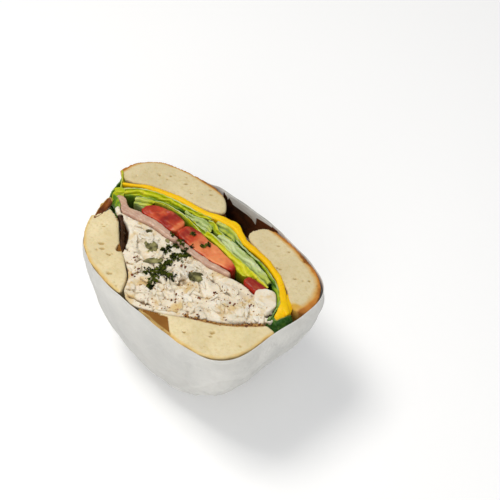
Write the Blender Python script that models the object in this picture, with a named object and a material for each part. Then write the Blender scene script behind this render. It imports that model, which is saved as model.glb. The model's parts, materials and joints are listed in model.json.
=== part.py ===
"""Half of a filled bagel sandwich, standing on its rim with the cut face up, in its paper wrap.

The bagel's axis lies along Y, so the layers are stacked from -Y (bottom bread) to +Y (top bread),
the chord of the cut runs along X, and the cut face looks up (+Z). A point is placed by x, y and its
depth d below the cut; r and turn are the polar place of (x, d) about the bagel's axis.
Sizes are written in millimetres and placed in metres.
"""

import math
import random

import bmesh
import bpy
from mathutils import Matrix, Vector, noise

MM = 0.001

# Driving sizes of the half sandwich
CUT_HEIGHT = 58.0  # floor to cut face, a little under the bagel's radius
HALF_THICKNESS = 36.8  # half of the stack, bread to bread
STACK_CENTRE = -0.2
RADIUS_RIGHT = (56.4, 58.2)  # bagel radius at the right end: bottom bread, top bread
RADIUS_LEFT = (50.4, 60.6)  # and at the left end, where the bottom bread sits further in
RADIUS_BELOW = 5.6  # how much further the bottom bread reaches straight down
SQUARENESS_RIGHT = (4.8, 7.0)  # exponent of the rounded outline at the right end: bottom bread, top bread
SQUARENESS_LEFT = (2.5, 6.0)  # and at the left end, where the bottom bread is rounder
TOP_DOME = (0.22, 0.16)  # share of its height that the top bread loses towards its rim: right end, left end
SKIN_GAP = 0.7  # air between the breads and the paper
GAP = 0.3  # air between neighbouring pieces
HOLE_BELOW = 8.0  # how much further the bagel's hole reaches straight down than along the cut
PAPER_THICKNESS = 0.6
PAPER_FLOOR = 57.35  # depth of the paper's inside at the flat where it stands
PAPER_END_DROP = (4.5, 9.0)  # how far the paper's edge sinks at the right end and at the left end
FOOD_FLOOR = 56.9

# Lines of the layers across the cut face, as (x, y) points from left to right
CHEESE_TOP = ((-60, 8.6), (-54, 8.6), (-50, 10.6), (-44.4, 14.8), (-36, 18.0), (-25.2, 20.9), (-14, 22.3),
              (-5.3, 25.4), (1, 27.0), (6, 26.0), (11, 22.9), (25, 21.4), (36.5, 18.2), (41, 15.8), (45.5, 12.8),
              (49.5, 9.2), (53, 7.0), (58, 6.2))
BOTTOM_BREAD_FACE = ((-58, -5), (-48, -5.4), (-41, -7), (-35, -9.7), (-29, -15), (-24, -19.5), (-15, -23.6),
                     (-9, -27.5), (-5, -33.5), (-1, -36.4), (5, -36.4), (9, -34.4), (14, -32), (20, -28.6),
                     (27, -23), (37, -18.3), (43.5, -14.8), (48.3, -10), (58, -4))
# Thicknesses across the cut face, as (x, thickness) points from left to right
CHEESE_THICKNESS = ((-58, 2.2), (-40, 2.6), (-12, 2.8), (1, 3.8), (12, 2.8), (36, 2.8), (46, 4.6), (52, 3.8),
                    (58, 2.4))
LETTUCE_THICKNESS = ((-58, 3.5), (-48, 6.5), (-40, 11.6), (-34, 7.8), (-20, 6.8), (-8, 9.2), (2, 12),
                     (12, 9.4), (22, 10), (30, 8.2), (38, 5.4), (46, 3), (58, 1.6))
TOMATO_THICKNESS = ((-58, 0), (-44, 0), (-33, 6.6), (-24, 8.2), (-8, 8.4), (8, 7.4), (15, 5.4), (22, 3.6),
                    (30, 4.2), (36, 4.4), (46, 0), (58, 0))
ONION_THICKNESS = ((-58, 1.6), (-50, 2.4), (-42, 3.6), (-34, 4.0), (-24, 3.4), (-10, 2.9), (10, 2.6), (20, 2.0),
                   (30, 0), (58, 0))

# Where the pieces begin and end, as x on the cut face
TOP_BREAD_ENDS = (-60.2, 57.8)
BOTTOM_BREAD_ENDS = (-49.9, 55.9)
BOTTOM_HOLE = (-4.4, 7.4)
TOP_HOLE = (-4.0, 8.2)
TOP_HOLE_FLARE = (10.0, 5.0)  # how much wider the top bread's hole is outside: left lobe, right lobe
SALAD_SPAN = (-44.0, 50.0, 46.0)
CHEESE_REACH = 53.0
TOMATO_SPANS = ((-34.4, -13.6, 23.0), (-12.8, 20.0, 23.0))  # left x, right x, depth
TOMATO_3_SPAN = (27.0, 38.0, 16.0)
ONION_SPANS = ((-48.4, -9.6, 30.0), (-8.8, 20.6, 26.0))
LEAF_THICKNESS = 0.8
HOLE_BLUNT = 0.4  # exponent of the bread's section towards the hole, flatter than a circle's 1

# Chicken salad: shreds, chunks and herb flakes fused on its core
SALAD_SEED = 12
CHUNK_SPOTS = ((-38, -5.5), (-24, -7), (-19, -16), (-2, -6), (6, -13), (-1, -21), (4, -29), (16, -6), (17, -21),
               (27, -2), (27, -13), (36, -8), (40, -13), (44, -1))
HERB_STRIP = ((-1.0, -2.0), (1.0, -24.0))  # middle line of the chopped herbs on the cut face
HERB_COUNT = 18

COLOURS = {
    "top_bread": ((0.80, 0.66, 0.42), 0.85),
    "bottom_bread": ((0.82, 0.69, 0.46), 0.85),
    "cheese": ((0.93, 0.58, 0.06), 0.45),
    "lettuce": ((0.36, 0.55, 0.09), 0.5),
    "lettuce_rib": ((0.66, 0.76, 0.42), 0.45),
    "outer_leaf": ((0.05, 0.20, 0.03), 0.5),
    "tomato": ((0.72, 0.13, 0.05), 0.3),
    "onion": ((0.72, 0.55, 0.55), 0.4),
    "chicken": ((0.80, 0.73, 0.58), 0.6),
    "paper": ((0.82, 0.83, 0.84), 0.7),
}


def line_at(points, x):
    """Height of a smooth line through the points, at x."""
    if x <= points[0][0]:
        return points[0][1]
    if x >= points[-1][0]:
        return points[-1][1]
    i = max(k for k, p in enumerate(points) if p[0] <= x)
    i = min(i, len(points) - 2)
    before = points[max(i - 1, 0)]
    a, b = points[i], points[i + 1]
    after = points[min(i + 2, len(points) - 1)]
    span = b[0] - a[0]
    t = (x - a[0]) / span
    slope_a = (b[1] - before[1]) / (b[0] - before[0])
    slope_b = (after[1] - a[1]) / (after[0] - a[0])
    return (
        (2 * t**3 - 3 * t**2 + 1) * a[1]
        + (t**3 - 2 * t**2 + t) * span * slope_a
        + (3 * t**2 - 2 * t**3) * b[1]
        + (t**3 - t**2) * span * slope_b
    )


def rightness(turn):
    """1 at the right end of the cut, 0 at the left end, smooth round the bagel between them."""
    return (1 + math.cos(turn)) / 2


def around(points, r, turn):
    """A cut-face line carried round the bagel: it holds on the right at turn 0 and on the left at pi."""
    w = rightness(turn)
    return w * line_at(points, r) + (1 - w) * line_at(points, -r)


def thickness(points, r, turn):
    return max(around(points, r, turn), 0.0)


def cheese_top(r, turn):
    return around(CHEESE_TOP, r, turn)


def lettuce_top(r, turn):
    return cheese_top(r, turn) - thickness(CHEESE_THICKNESS, r, turn) - GAP


def tomato_top(r, turn):
    return lettuce_top(r, turn) - thickness(LETTUCE_THICKNESS, r, turn) - GAP


def onion_top(r, turn):
    return tomato_top(r, turn) - thickness(TOMATO_THICKNESS, r, turn) - GAP


def salad_top(r, turn):
    return onion_top(r, turn) - thickness(ONION_THICKNESS, r, turn) - GAP


def salad_bottom(r, turn):
    return around(BOTTOM_BREAD_FACE, r, turn) + 3.2 * GAP


def smooth_step(low, high, x):
    t = min(max((x - low) / (high - low), 0.0), 1.0)
    return t * t * (3 - 2 * t)


def wrap_radius(s, turn):
    """Radius of the stack's outline on the level s, which runs from -1 (bottom) to 1 (top)."""
    w = rightness(turn)
    low = w * RADIUS_RIGHT[0] + (1 - w) * RADIUS_LEFT[0] + RADIUS_BELOW * 4 * w * (1 - w)
    high = w * RADIUS_RIGHT[1] + (1 - w) * RADIUS_LEFT[1]
    return low + (high - low) * smooth_step(-0.25, 0.3, s)


def squareness(s, turn):
    """Exponent of the outline on the level s: it is a rounded box, rounder at the bottom bread's left end."""
    w = rightness(turn)
    half = 1 if s > 0 else 0
    return w * SQUARENESS_RIGHT[half] + (1 - w) * SQUARENESS_LEFT[half]


def dome(s, r, turn):
    """How much of its height the stack keeps at radius r: the top bread falls away to its rim."""
    w = rightness(turn)
    fall = w * TOP_DOME[0] + (1 - w) * TOP_DOME[1]
    return 1 - fall * (r / wrap_radius(1.0, turn)) ** 2 if s > 0 else 1.0


def is_inside(r, y, turn):
    s = (y - STACK_CENTRE) / HALF_THICKNESS
    s /= dome(s, r, turn)
    n = squareness(s, turn)
    return (r / wrap_radius(s, turn)) ** n + abs(s) ** n < 1


def outline_radius(y, turn):
    """How far out the stack reaches at height y, found by halving."""
    low, high = 0.0, 1.1 * RADIUS_LEFT[1]
    for _ in range(14):
        middle = (low + high) / 2
        if is_inside(middle, y, turn):
            low = middle
        else:
            high = middle
    return low


def outline_height(r, turn, side):
    """Height of the stack's outer face at radius r, on the top (side 1) or the bottom (side -1)."""
    n = squareness(side, turn)
    reach = min(r / wrap_radius(side * 0.8, turn), 0.999)
    return STACK_CENTRE + side * HALF_THICKNESS * (1 - reach**n) ** (1 / n) * dome(side, r, turn)


def soft_floor(d, floor, softness=2.5):
    """Depth d, pressed flat as it comes to the floor."""
    return -softness * math.log(math.exp(-d / softness) + math.exp(-floor / softness))


def place(x, y, d, inset=SKIN_GAP):
    """The point at (x, y, depth d), pushed inside the stack's outline and up off the floor."""
    r = math.hypot(x, d)
    turn = math.atan2(d, x)
    limit = max(outline_radius(y, turn) - inset, 0.0)
    if r > limit:
        x *= limit / r
        d *= limit / r
    return Vector((x, y, CUT_HEIGHT - soft_floor(d, FOOD_FLOOR))) * MM


def half_disc(u, w):
    """Maps u in -1..1 and w in 0..1 on the half disc of radius 1, evenly, as (x, depth, rho)."""
    if u == 0 and w == 0:
        return 0.0, 0.0, 0.0
    if abs(u) > w:
        rho = abs(u)
        angle = math.pi / 4 * (w / abs(u))
        return math.copysign(rho * math.cos(angle), u), rho * math.sin(angle), rho
    rho = w
    angle = math.pi / 2 - math.pi / 4 * (u / w)
    return rho * math.cos(angle), rho * math.sin(angle), rho


def signed_power(value, exponent):
    return math.copysign(abs(value) ** exponent, value)


def even_steps(low, high, count):
    return [low + (high - low) * (i + 1) / count for i in range(count - 1)]


def make_material(name):
    colour, roughness = COLOURS[name]
    material = bpy.data.materials.get(name) or bpy.data.materials.new(name)
    material.use_nodes = True
    shader = material.node_tree.nodes["Principled BSDF"]
    shader.inputs["Base Color"].default_value = (*colour, 1)
    shader.inputs["Roughness"].default_value = roughness
    shader.inputs["Metallic"].default_value = 0
    return material


def finish(name, bm, material, collection):
    """Turns the bmesh into a named, shaded object of the collection."""
    bmesh.ops.recalc_face_normals(bm, faces=bm.faces)
    if bm.calc_volume(signed=True) < 0:
        bmesh.ops.reverse_faces(bm, faces=bm.faces)
    mesh = bpy.data.meshes.new(name)
    bm.to_mesh(mesh)
    bm.free()
    mesh.shade_smooth()
    mesh.set_sharp_from_angle(angle=math.radians(40))
    mesh.materials.append(make_material(material))
    body = bpy.data.objects.new(name, mesh)
    collection.objects.link(body)
    return body


def sliced_block(cuts_x, cuts_y, cuts_z):
    """A cube from -1 to 1, sliced into a grid on its faces at the given places."""
    bm = bmesh.new()
    bmesh.ops.create_cube(bm, size=2)
    for axis, cuts in enumerate((cuts_x, cuts_y, cuts_z)):
        normal = Vector((axis == 0, axis == 1, axis == 2))
        for cut in cuts:
            everything = bm.verts[:] + bm.edges[:] + bm.faces[:]
            bmesh.ops.bisect_plane(bm, geom=everything, plane_co=normal * cut, plane_no=normal)
    return bm


def make_slice(name, material, collection, span, low, high, columns, rows, edge=0.35):
    """A layer over the half ellipse span = (left, right, depth), between the surfaces low and high."""
    left, right, deep = span
    bm = sliced_block(even_steps(-1, 1, columns), [], even_steps(-1, 1, rows))
    for vert in bm.verts:
        u, v, w = vert.co.x, vert.co.y, (1 - vert.co.z) / 2
        across, down, rho = half_disc(u, w)
        x = (left + right) / 2 + (right - left) / 2 * across
        d = deep * down
        r, turn = math.hypot(x, d), math.atan2(d, x)
        bottom, top = low(r, turn), high(r, turn)
        full = edge + (1 - edge) * (1 - rho**6) ** 0.5
        vert.co = place(x, (bottom + top) / 2 + v * full * (top - bottom) / 2, d)
    return finish(name, bm, material, collection)


def make_bread(name, material, collection, hole, flare, ends, below, low, high, blunt):
    """Half a bread ring: its section lies between the surfaces low and high, and turns from right to left."""
    bm = bmesh.new()
    bmesh.ops.create_cone(bm, cap_ends=True, segments=26, radius1=1, radius2=1, depth=2)
    for cut in even_steps(-1, 1, 20):
        everything = bm.verts[:] + bm.edges[:] + bm.faces[:]
        bmesh.ops.bisect_plane(bm, geom=everything, plane_co=(0, 0, cut), plane_no=(0, 0, 1))
    for vert in bm.verts:
        turn = math.pi * (vert.co.z + 1) / 2
        w = rightness(turn)
        inner = w * hole[1] - (1 - w) * hole[0] + HOLE_BELOW * 4 * w * (1 - w)
        outer = w * ends[1] - (1 - w) * ends[0] + below * 4 * w * (1 - w)
        length = math.hypot(vert.co.x, vert.co.y)
        across = signed_power(vert.co.x / length, blunt if vert.co.x > 0 else HOLE_BLUNT)
        up = signed_power(vert.co.y / length, blunt)
        slant = (w * flare[1] + (1 - w) * flare[0]) * (1 + up) / 2 * (1 - across) / 2
        r = (inner + outer) / 2 + (outer - inner) / 2 * across + slant
        bottom, top = low(r, turn), high(r, turn)
        y = (bottom + top) / 2 + up * (top - bottom) / 2
        vert.co = place(r * math.cos(turn), y, r * math.sin(turn))
    return finish(name, bm, material, collection)


def make_breads(collection):
    """The bottom and the top of the bagel, each a half ring round the hole."""
    make_bread("bottom_bread", "bottom_bread", collection, BOTTOM_HOLE, (0, 0), BOTTOM_BREAD_ENDS, RADIUS_BELOW,
               lambda r, turn: outline_height(r, turn, -1) + SKIN_GAP,
               lambda r, turn: around(BOTTOM_BREAD_FACE, r, turn) - GAP / 2, 0.62)
    make_bread("top_bread", "top_bread", collection, TOP_HOLE, TOP_HOLE_FLARE, TOP_BREAD_ENDS, 0.0,
               lambda r, turn: cheese_top(r, turn) + GAP,
               lambda r, turn: outline_height(r, turn, 1) - SKIN_GAP, 0.6)


def make_cheese(collection):
    span = (-CHEESE_REACH, CHEESE_REACH, 47.0)
    make_slice("cheese_slice", "cheese", collection, span,
               lambda r, turn: lettuce_top(r, turn) + GAP,
               lambda r, turn: cheese_top(r, turn) - GAP, 26, 8, edge=0.6)


def make_leaf(name, material, collection, span, level, thick, ripple):
    """A thin wavy leaf at a level from 0 to 1 of the lettuce's space, which its ripples never leave."""
    def middle(r, turn):
        x, d = r * math.cos(turn), r * math.sin(turn)
        bottom = tomato_top(r, turn) + thick / 2 + GAP / 2
        top = lettuce_top(r, turn) - thick / 2 - GAP / 2
        wave = ripple * math.sin(x / 3.1 + d / 5.3) * math.sin(d / 6.1 + 0.6)
        room = max(top - bottom, 0.0)
        return bottom + room * min(max(level + wave / max(room, 1.0), 0.0), 1.0)

    make_slice(name, material, collection, span,
               lambda r, turn: middle(r, turn) - thick / 2,
               lambda r, turn: middle(r, turn) + thick / 2, 20, 5, edge=0.7)


def make_lettuce(collection):
    """Three wavy leaves and one thick pale rib between them, side by side in depth."""
    make_leaf("lettuce_leaf_1", "lettuce", collection, (-50, 47, 44), 0.96, LEAF_THICKNESS, 0.35)
    make_leaf("lettuce_leaf_2", "lettuce", collection, (-44, 34, 40), 0.62, LEAF_THICKNESS, 0.35)
    make_leaf("lettuce_rib", "lettuce_rib", collection, (-8, 36, 30), 0.33, 2.2, 0.2)
    make_leaf("lettuce_leaf_3", "lettuce", collection, (-47, 42, 42), 0.04, LEAF_THICKNESS, 0.35)


def make_tomatoes(collection):
    for number, span in enumerate(TOMATO_SPANS, 1):
        make_slice(f"tomato_slice_{number}", "tomato", collection, span,
                   lambda r, turn: onion_top(r, turn) + GAP,
                   lambda r, turn: tomato_top(r, turn), 14, 5, edge=0.55)


def make_onions(collection):
    for number, span in enumerate(ONION_SPANS, 1):
        make_slice(f"onion_slice_{number}", "onion", collection, span,
                   lambda r, turn: salad_top(r, turn) + GAP,
                   lambda r, turn: onion_top(r, turn), 16, 5, edge=0.5)


def make_last_tomato(collection):
    """The edge of a third slice, which shows near the right end."""
    make_slice("tomato_slice_3", "tomato", collection, TOMATO_3_SPAN,
               lambda r, turn: onion_top(r, turn) + GAP,
               lambda r, turn: tomato_top(r, turn), 8, 4, edge=0.7)


def make_end_leaf(name, collection, radius, lean, levels, turns):
    """The curled end of a dark leaf, standing between the breads at one end of the cut and leaning out."""
    bm = sliced_block([], even_steps(-1, 1, 8), even_steps(-1, 1, 6))
    for vert in bm.verts:
        y = levels[0] + (levels[1] - levels[0]) * (vert.co.y + 1) / 2
        turn = turns[0] + (turns[1] - turns[0]) * (1 - vert.co.z) / 2
        curl = 0.5 * math.sin(vert.co.y * 3.0 + vert.co.z * 2.0)
        r = radius + lean * (y - levels[0]) + curl + vert.co.x * LEAF_THICKNESS / 2
        vert.co = place(r * math.cos(turn), y, r * math.sin(turn), inset=0.8)
    return finish(name, bm, "outer_leaf", collection)


def crag(x, y, z, size, height):
    """Relief of a torn surface: ridges of the given size and height."""
    spot = Vector((x, y, z)) / size
    return height * (noise.noise(spot) + 0.5 * noise.noise(spot * 2.1))


def keep_in_salad(x, y, d, margin):
    """The height y, kept inside the salad's own space at that place."""
    r, turn = math.hypot(x, d), math.atan2(d, x)
    low, high = salad_bottom(r, turn) + margin, salad_top(r, turn) - margin
    if low > high:
        low = high = (low + high) / 2
    return min(max(y, low), high)


def make_salad_core(collection):
    """The packed salad, torn into crags on the cut face, with its plug in the bagel's hole."""
    left, right, deep = SALAD_SPAN
    bm = sliced_block(even_steps(-1, 1, 24), even_steps(-1, 1, 8), even_steps(-1, 1, 6))
    for vert in bm.verts:
        u, v, w = vert.co.x, vert.co.y, (1 - vert.co.z) / 2
        across, down, rho = half_disc(u, w)
        x = (left + right) / 2 + (right - left) / 2 * across
        d = deep * down
        r, turn = math.hypot(x, d), math.atan2(d, x)
        low, high = salad_bottom(r, turn), salad_top(r, turn) - GAP / 2
        full = 0.5 + 0.5 * (1 - rho**6) ** 0.5
        y = (low + high) / 2 + v * full * (high - low) / 2
        if w == 0:
            d = 1.2 + crag(x, y, 0.0, 5.0, 1.3) * (1 - 0.7 * max(rho**4, v**4))
        vert.co = place(x, y, d)
    return finish("chicken_salad", bm, "chicken", collection)


def make_chunk(name, collection, spot, size, rng):
    """One torn piece of chicken, whose top shows in the cut face."""
    bm = bmesh.new()
    bmesh.ops.create_icosphere(bm, subdivisions=2, radius=1)
    stretch = Vector((rng.uniform(0.9, 1.5), rng.uniform(0.55, 0.9), 0.8)) * size
    turn = Matrix.Rotation(rng.uniform(-0.9, 0.9), 3, "Z")
    sunk = stretch.z - rng.uniform(0.0, 0.5)
    for vert in bm.verts:
        rough = 1 + crag(*(vert.co + Vector(spot).to_3d()), 0.8, 0.22)
        local = turn @ Vector((vert.co.x * stretch.x, vert.co.y * stretch.y, vert.co.z * stretch.z)) * rough
        x, d = spot[0] + local.x, max(sunk - local.z, -0.8)
        y = keep_in_salad(x, spot[1] + local.y, d, 0.55 + 0.3 * rng.random())
        vert.co = place(x, y, d, inset=1.6)
    return finish(name, bm, "chicken", collection)


def make_herb_flake(name, collection, rng):
    """One chopped herb leaf, lying half sunk in the salad."""
    start, end = HERB_STRIP
    along = rng.random()
    x = start[0] + (end[0] - start[0]) * along + rng.gauss(0, 2.2)
    y = start[1] + (end[1] - start[1]) * along + rng.gauss(0, 0.8)
    bm = bmesh.new()
    bmesh.ops.create_cube(bm, size=1)
    spin = Matrix.Rotation(rng.uniform(0, math.tau), 3, "Z") @ Matrix.Rotation(rng.uniform(-0.6, 0.6), 3, "X")
    for vert in bm.verts:
        local = spin @ Vector((vert.co.x * 2.4, vert.co.y * 1.3, vert.co.z * 1.6))
        px, d = x + local.x, 0.6 - local.z
        vert.co = place(px, keep_in_salad(px, y + local.y, d, 0.55 + 0.3 * rng.random()), d)
    return finish(name, bm, "chicken", collection)


def fuse(core, bits):
    """Unites the collection of bits with the core in one solid, and removes the bits."""
    union = core.modifiers.new("union", "BOOLEAN")
    union.operation = "UNION"
    union.operand_type = "COLLECTION"
    union.collection = bits
    union.solver = "EXACT"
    evaluated = core.evaluated_get(bpy.context.evaluated_depsgraph_get())
    mesh = bpy.data.meshes.new_from_object(evaluated)
    core.modifiers.clear()
    core.data = mesh
    for bit in list(bits.objects):
        bpy.data.objects.remove(bit)
    bpy.data.collections.remove(bits)


def make_salad(collection):
    """The chicken salad as one heap, with its chunks and chopped herbs fused on."""
    core = make_salad_core(collection)
    bits = bpy.data.collections.new("salad_bits")
    bpy.context.scene.collection.children.link(bits)
    rng = random.Random(SALAD_SEED)
    for number, spot in enumerate(CHUNK_SPOTS):
        make_chunk(f"chunk_{number}", bits, spot, rng.uniform(4.0, 5.4), rng)
    for number in range(HERB_COUNT):
        make_herb_flake(f"herb_{number}", bits, rng)
    fuse(core, bits)


def paper_drop(x, y):
    """How far the paper's edge lies below the cut: flush along the breads, lower round the ends."""
    ends = PAPER_END_DROP[0] * smooth_step(36, 52, x) + PAPER_END_DROP[1] * smooth_step(34, 52, -x)
    side = smooth_step(30, 10, y) if y > 0 else 1.0
    return 0.35 + ends * side + 0.25 * math.sin(x * 0.45)


def make_paper(collection):
    """The sheet that wraps the half from below, folded round both breads up to the cut."""
    bm = sliced_block(even_steps(-1, 1, 18), even_steps(-1, 1, 8), even_steps(-1, 1, 9))
    top = [face for face in bm.faces if face.normal.z > 0.5]
    bmesh.ops.delete(bm, geom=top, context="FACES")
    for vert in bm.verts:
        u, v, w = vert.co.x, vert.co.y, (1 - vert.co.z) / 2
        across, down, rho = half_disc(u, w)
        turn = math.atan2(down, across)
        n = squareness(v, turn)
        corner = (rho**n + abs(v) ** n) ** (-1 / n)
        s = v * corner
        r = rho * corner * wrap_radius(s, turn)
        y = STACK_CENTRE + HALF_THICKNESS * s * dome(s, r, turn)
        x, d = r * math.cos(turn), r * math.sin(turn)
        d += paper_drop(x, y) * max(1 - d / 30, 0.0)
        vert.co = Vector((x, y, CUT_HEIGHT - min(d, PAPER_FLOOR))) * MM
    bmesh.ops.recalc_face_normals(bm, faces=bm.faces)
    bmesh.ops.solidify(bm, geom=bm.faces[:], thickness=-PAPER_THICKNESS * MM)
    lowest = (CUT_HEIGHT - PAPER_FLOOR - PAPER_THICKNESS) * MM
    for vert in bm.verts:
        if vert.co.z < lowest + 0.3 * PAPER_THICKNESS * MM:
            vert.co.z = lowest
    return finish("paper_wrap", bm, "paper", collection)


def set_on_floor(collection):
    """Moves every piece so that the origin is the middle of the half's footprint."""
    points = [vert.co for body in collection.objects for vert in body.data.vertices]
    low = Vector([min(p[i] for p in points) for i in range(3)])
    high = Vector([max(p[i] for p in points) for i in range(3)])
    shift = Vector((-(low.x + high.x) / 2, -(low.y + high.y) / 2, -low.z))
    for body in collection.objects:
        body.data.transform(Matrix.Translation(shift))


def build():
    for old in list(bpy.data.objects):
        bpy.data.objects.remove(old)
    sandwich = bpy.data.collections.new("bagel_sandwich_half")
    bpy.context.scene.collection.children.link(sandwich)
    make_breads(sandwich)
    make_cheese(sandwich)
    make_lettuce(sandwich)
    make_tomatoes(sandwich)
    make_last_tomato(sandwich)
    make_onions(sandwich)
    make_end_leaf("end_leaf_right", sandwich, 53.4, 0.3, (-3.2, 4.4), (0.0, 0.30))
    make_end_leaf("end_leaf_left", sandwich, 50.0, 0.5, (-3.0, 5.2), (math.pi, math.pi - 0.30))
    make_salad(sandwich)
    make_paper(sandwich)
    set_on_floor(sandwich)


build()
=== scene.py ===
"""Looks of half a filled bagel sandwich in its paper wrap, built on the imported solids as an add-on.

The bagel's axis lies along Y, the chord of the cut along X, and the cut face looks up. A place in the
stack is given by x, y and its depth d below the cut; r and turn are the polar place of (x, d) about
the axis. The layer lines below are in millimetres, as the solids were drawn with.
"""

import json
import math
import random

import bpy
from bpy.props import FloatProperty, FloatVectorProperty, IntProperty, PointerProperty
from mathutils import Matrix, Vector, noise
from mathutils.bvhtree import BVHTree

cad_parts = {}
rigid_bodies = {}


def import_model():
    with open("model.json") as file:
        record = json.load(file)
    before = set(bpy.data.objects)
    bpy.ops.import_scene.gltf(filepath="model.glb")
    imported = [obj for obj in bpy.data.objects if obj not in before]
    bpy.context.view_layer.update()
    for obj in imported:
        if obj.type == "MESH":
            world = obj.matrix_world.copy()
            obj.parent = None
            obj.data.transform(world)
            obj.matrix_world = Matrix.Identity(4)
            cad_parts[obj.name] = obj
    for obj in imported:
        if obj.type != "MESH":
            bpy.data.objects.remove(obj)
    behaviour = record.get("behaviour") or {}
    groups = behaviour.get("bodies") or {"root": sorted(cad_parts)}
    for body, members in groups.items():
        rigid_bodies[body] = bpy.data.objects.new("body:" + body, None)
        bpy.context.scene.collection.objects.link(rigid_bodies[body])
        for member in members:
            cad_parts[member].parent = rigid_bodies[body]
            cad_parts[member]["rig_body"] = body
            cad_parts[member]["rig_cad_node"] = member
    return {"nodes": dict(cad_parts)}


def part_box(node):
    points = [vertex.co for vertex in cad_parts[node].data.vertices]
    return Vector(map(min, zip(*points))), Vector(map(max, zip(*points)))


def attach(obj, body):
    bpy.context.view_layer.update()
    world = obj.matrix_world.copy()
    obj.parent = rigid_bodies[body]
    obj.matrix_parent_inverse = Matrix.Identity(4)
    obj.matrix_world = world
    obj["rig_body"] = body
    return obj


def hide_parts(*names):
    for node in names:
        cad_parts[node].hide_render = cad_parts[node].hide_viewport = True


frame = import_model()

bl_info = {
    "name": "Bagel Sandwich Half",
    "version": (1, 0, 0),
    "blender": (4, 5, 0),
    "location": "3D View > Sidebar > Sandwich",
    "description": "Builds half a filled bagel sandwich in its paper wrap",
    "category": "Add Mesh",
}

MM = 0.001
SHIFT = Vector((1.143, 0.2, -0.05))  # from the drawing of the layers to the part's own frame, in mm
CUT_HEIGHT = 58.0
PAPER_FLOOR = 57.5  # depth of the flat that the paper stands on
SMOOTH_ANGLE = 60  # in degrees: sharper edges stay sharp
LEAF_ANGLE = 70
PAPER_ANGLE = 50

# Outline of the whole stack
HALF_THICKNESS = 36.8
STACK_CENTRE = -0.2
RADIUS_RIGHT = (56.4, 58.2)
RADIUS_LEFT = (50.4, 60.6)
RADIUS_BELOW = 5.6
SQUARENESS_RIGHT = (4.8, 7.0)
SQUARENESS_LEFT = (2.5, 6.0)
TOP_DOME = (0.22, 0.16)
SKIN_GAP = 0.7

# Lines of the layers across the cut face, as (x, y) points from left to right
CHEESE_TOP = (
    (-60, 8.6), (-54, 8.6), (-50, 10.6), (-44.4, 14.8), (-36, 18.0), (-25.2, 20.9), (-14, 22.3),
    (-5.3, 25.4), (1, 27.0), (6, 26.0), (11, 22.9), (25, 21.4), (36.5, 18.2), (41, 15.8), (45.5, 12.8),
    (49.5, 9.2), (53, 7.0), (58, 6.2),
)
BOTTOM_BREAD_FACE = (
    (-58, -5), (-48, -5.4), (-41, -7), (-35, -9.7), (-29, -15), (-24, -19.5), (-15, -23.6), (-9, -27.5),
    (-5, -33.5), (-1, -36.4), (5, -36.4), (9, -34.4), (14, -32), (20, -28.6), (27, -23), (37, -18.3),
    (43.5, -14.8), (48.3, -10), (58, -4),
)
CHEESE_THICKNESS = (
    (-58, 2.2), (-40, 2.6), (-12, 2.8), (1, 3.8), (12, 2.8), (36, 2.8), (46, 4.6), (52, 3.8), (58, 2.4),
)
LETTUCE_THICKNESS = (
    (-58, 3.5), (-48, 6.5), (-40, 11.6), (-34, 7.8), (-20, 6.8), (-8, 9.2), (2, 12), (12, 9.4), (22, 10),
    (30, 8.2), (38, 5.4), (46, 3), (58, 1.6),
)
TOMATO_THICKNESS = (
    (-58, 0), (-44, 0), (-33, 6.6), (-24, 8.2), (-8, 8.4), (8, 7.4), (15, 5.4), (22, 3.6), (30, 4.2),
    (36, 4.4), (46, 0), (58, 0),
)
ONION_THICKNESS = (
    (-58, 1.6), (-50, 2.4), (-42, 3.6), (-34, 4.0), (-24, 3.4), (-10, 2.9), (10, 2.6), (20, 2.0),
    (30, 0), (58, 0),
)

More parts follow.
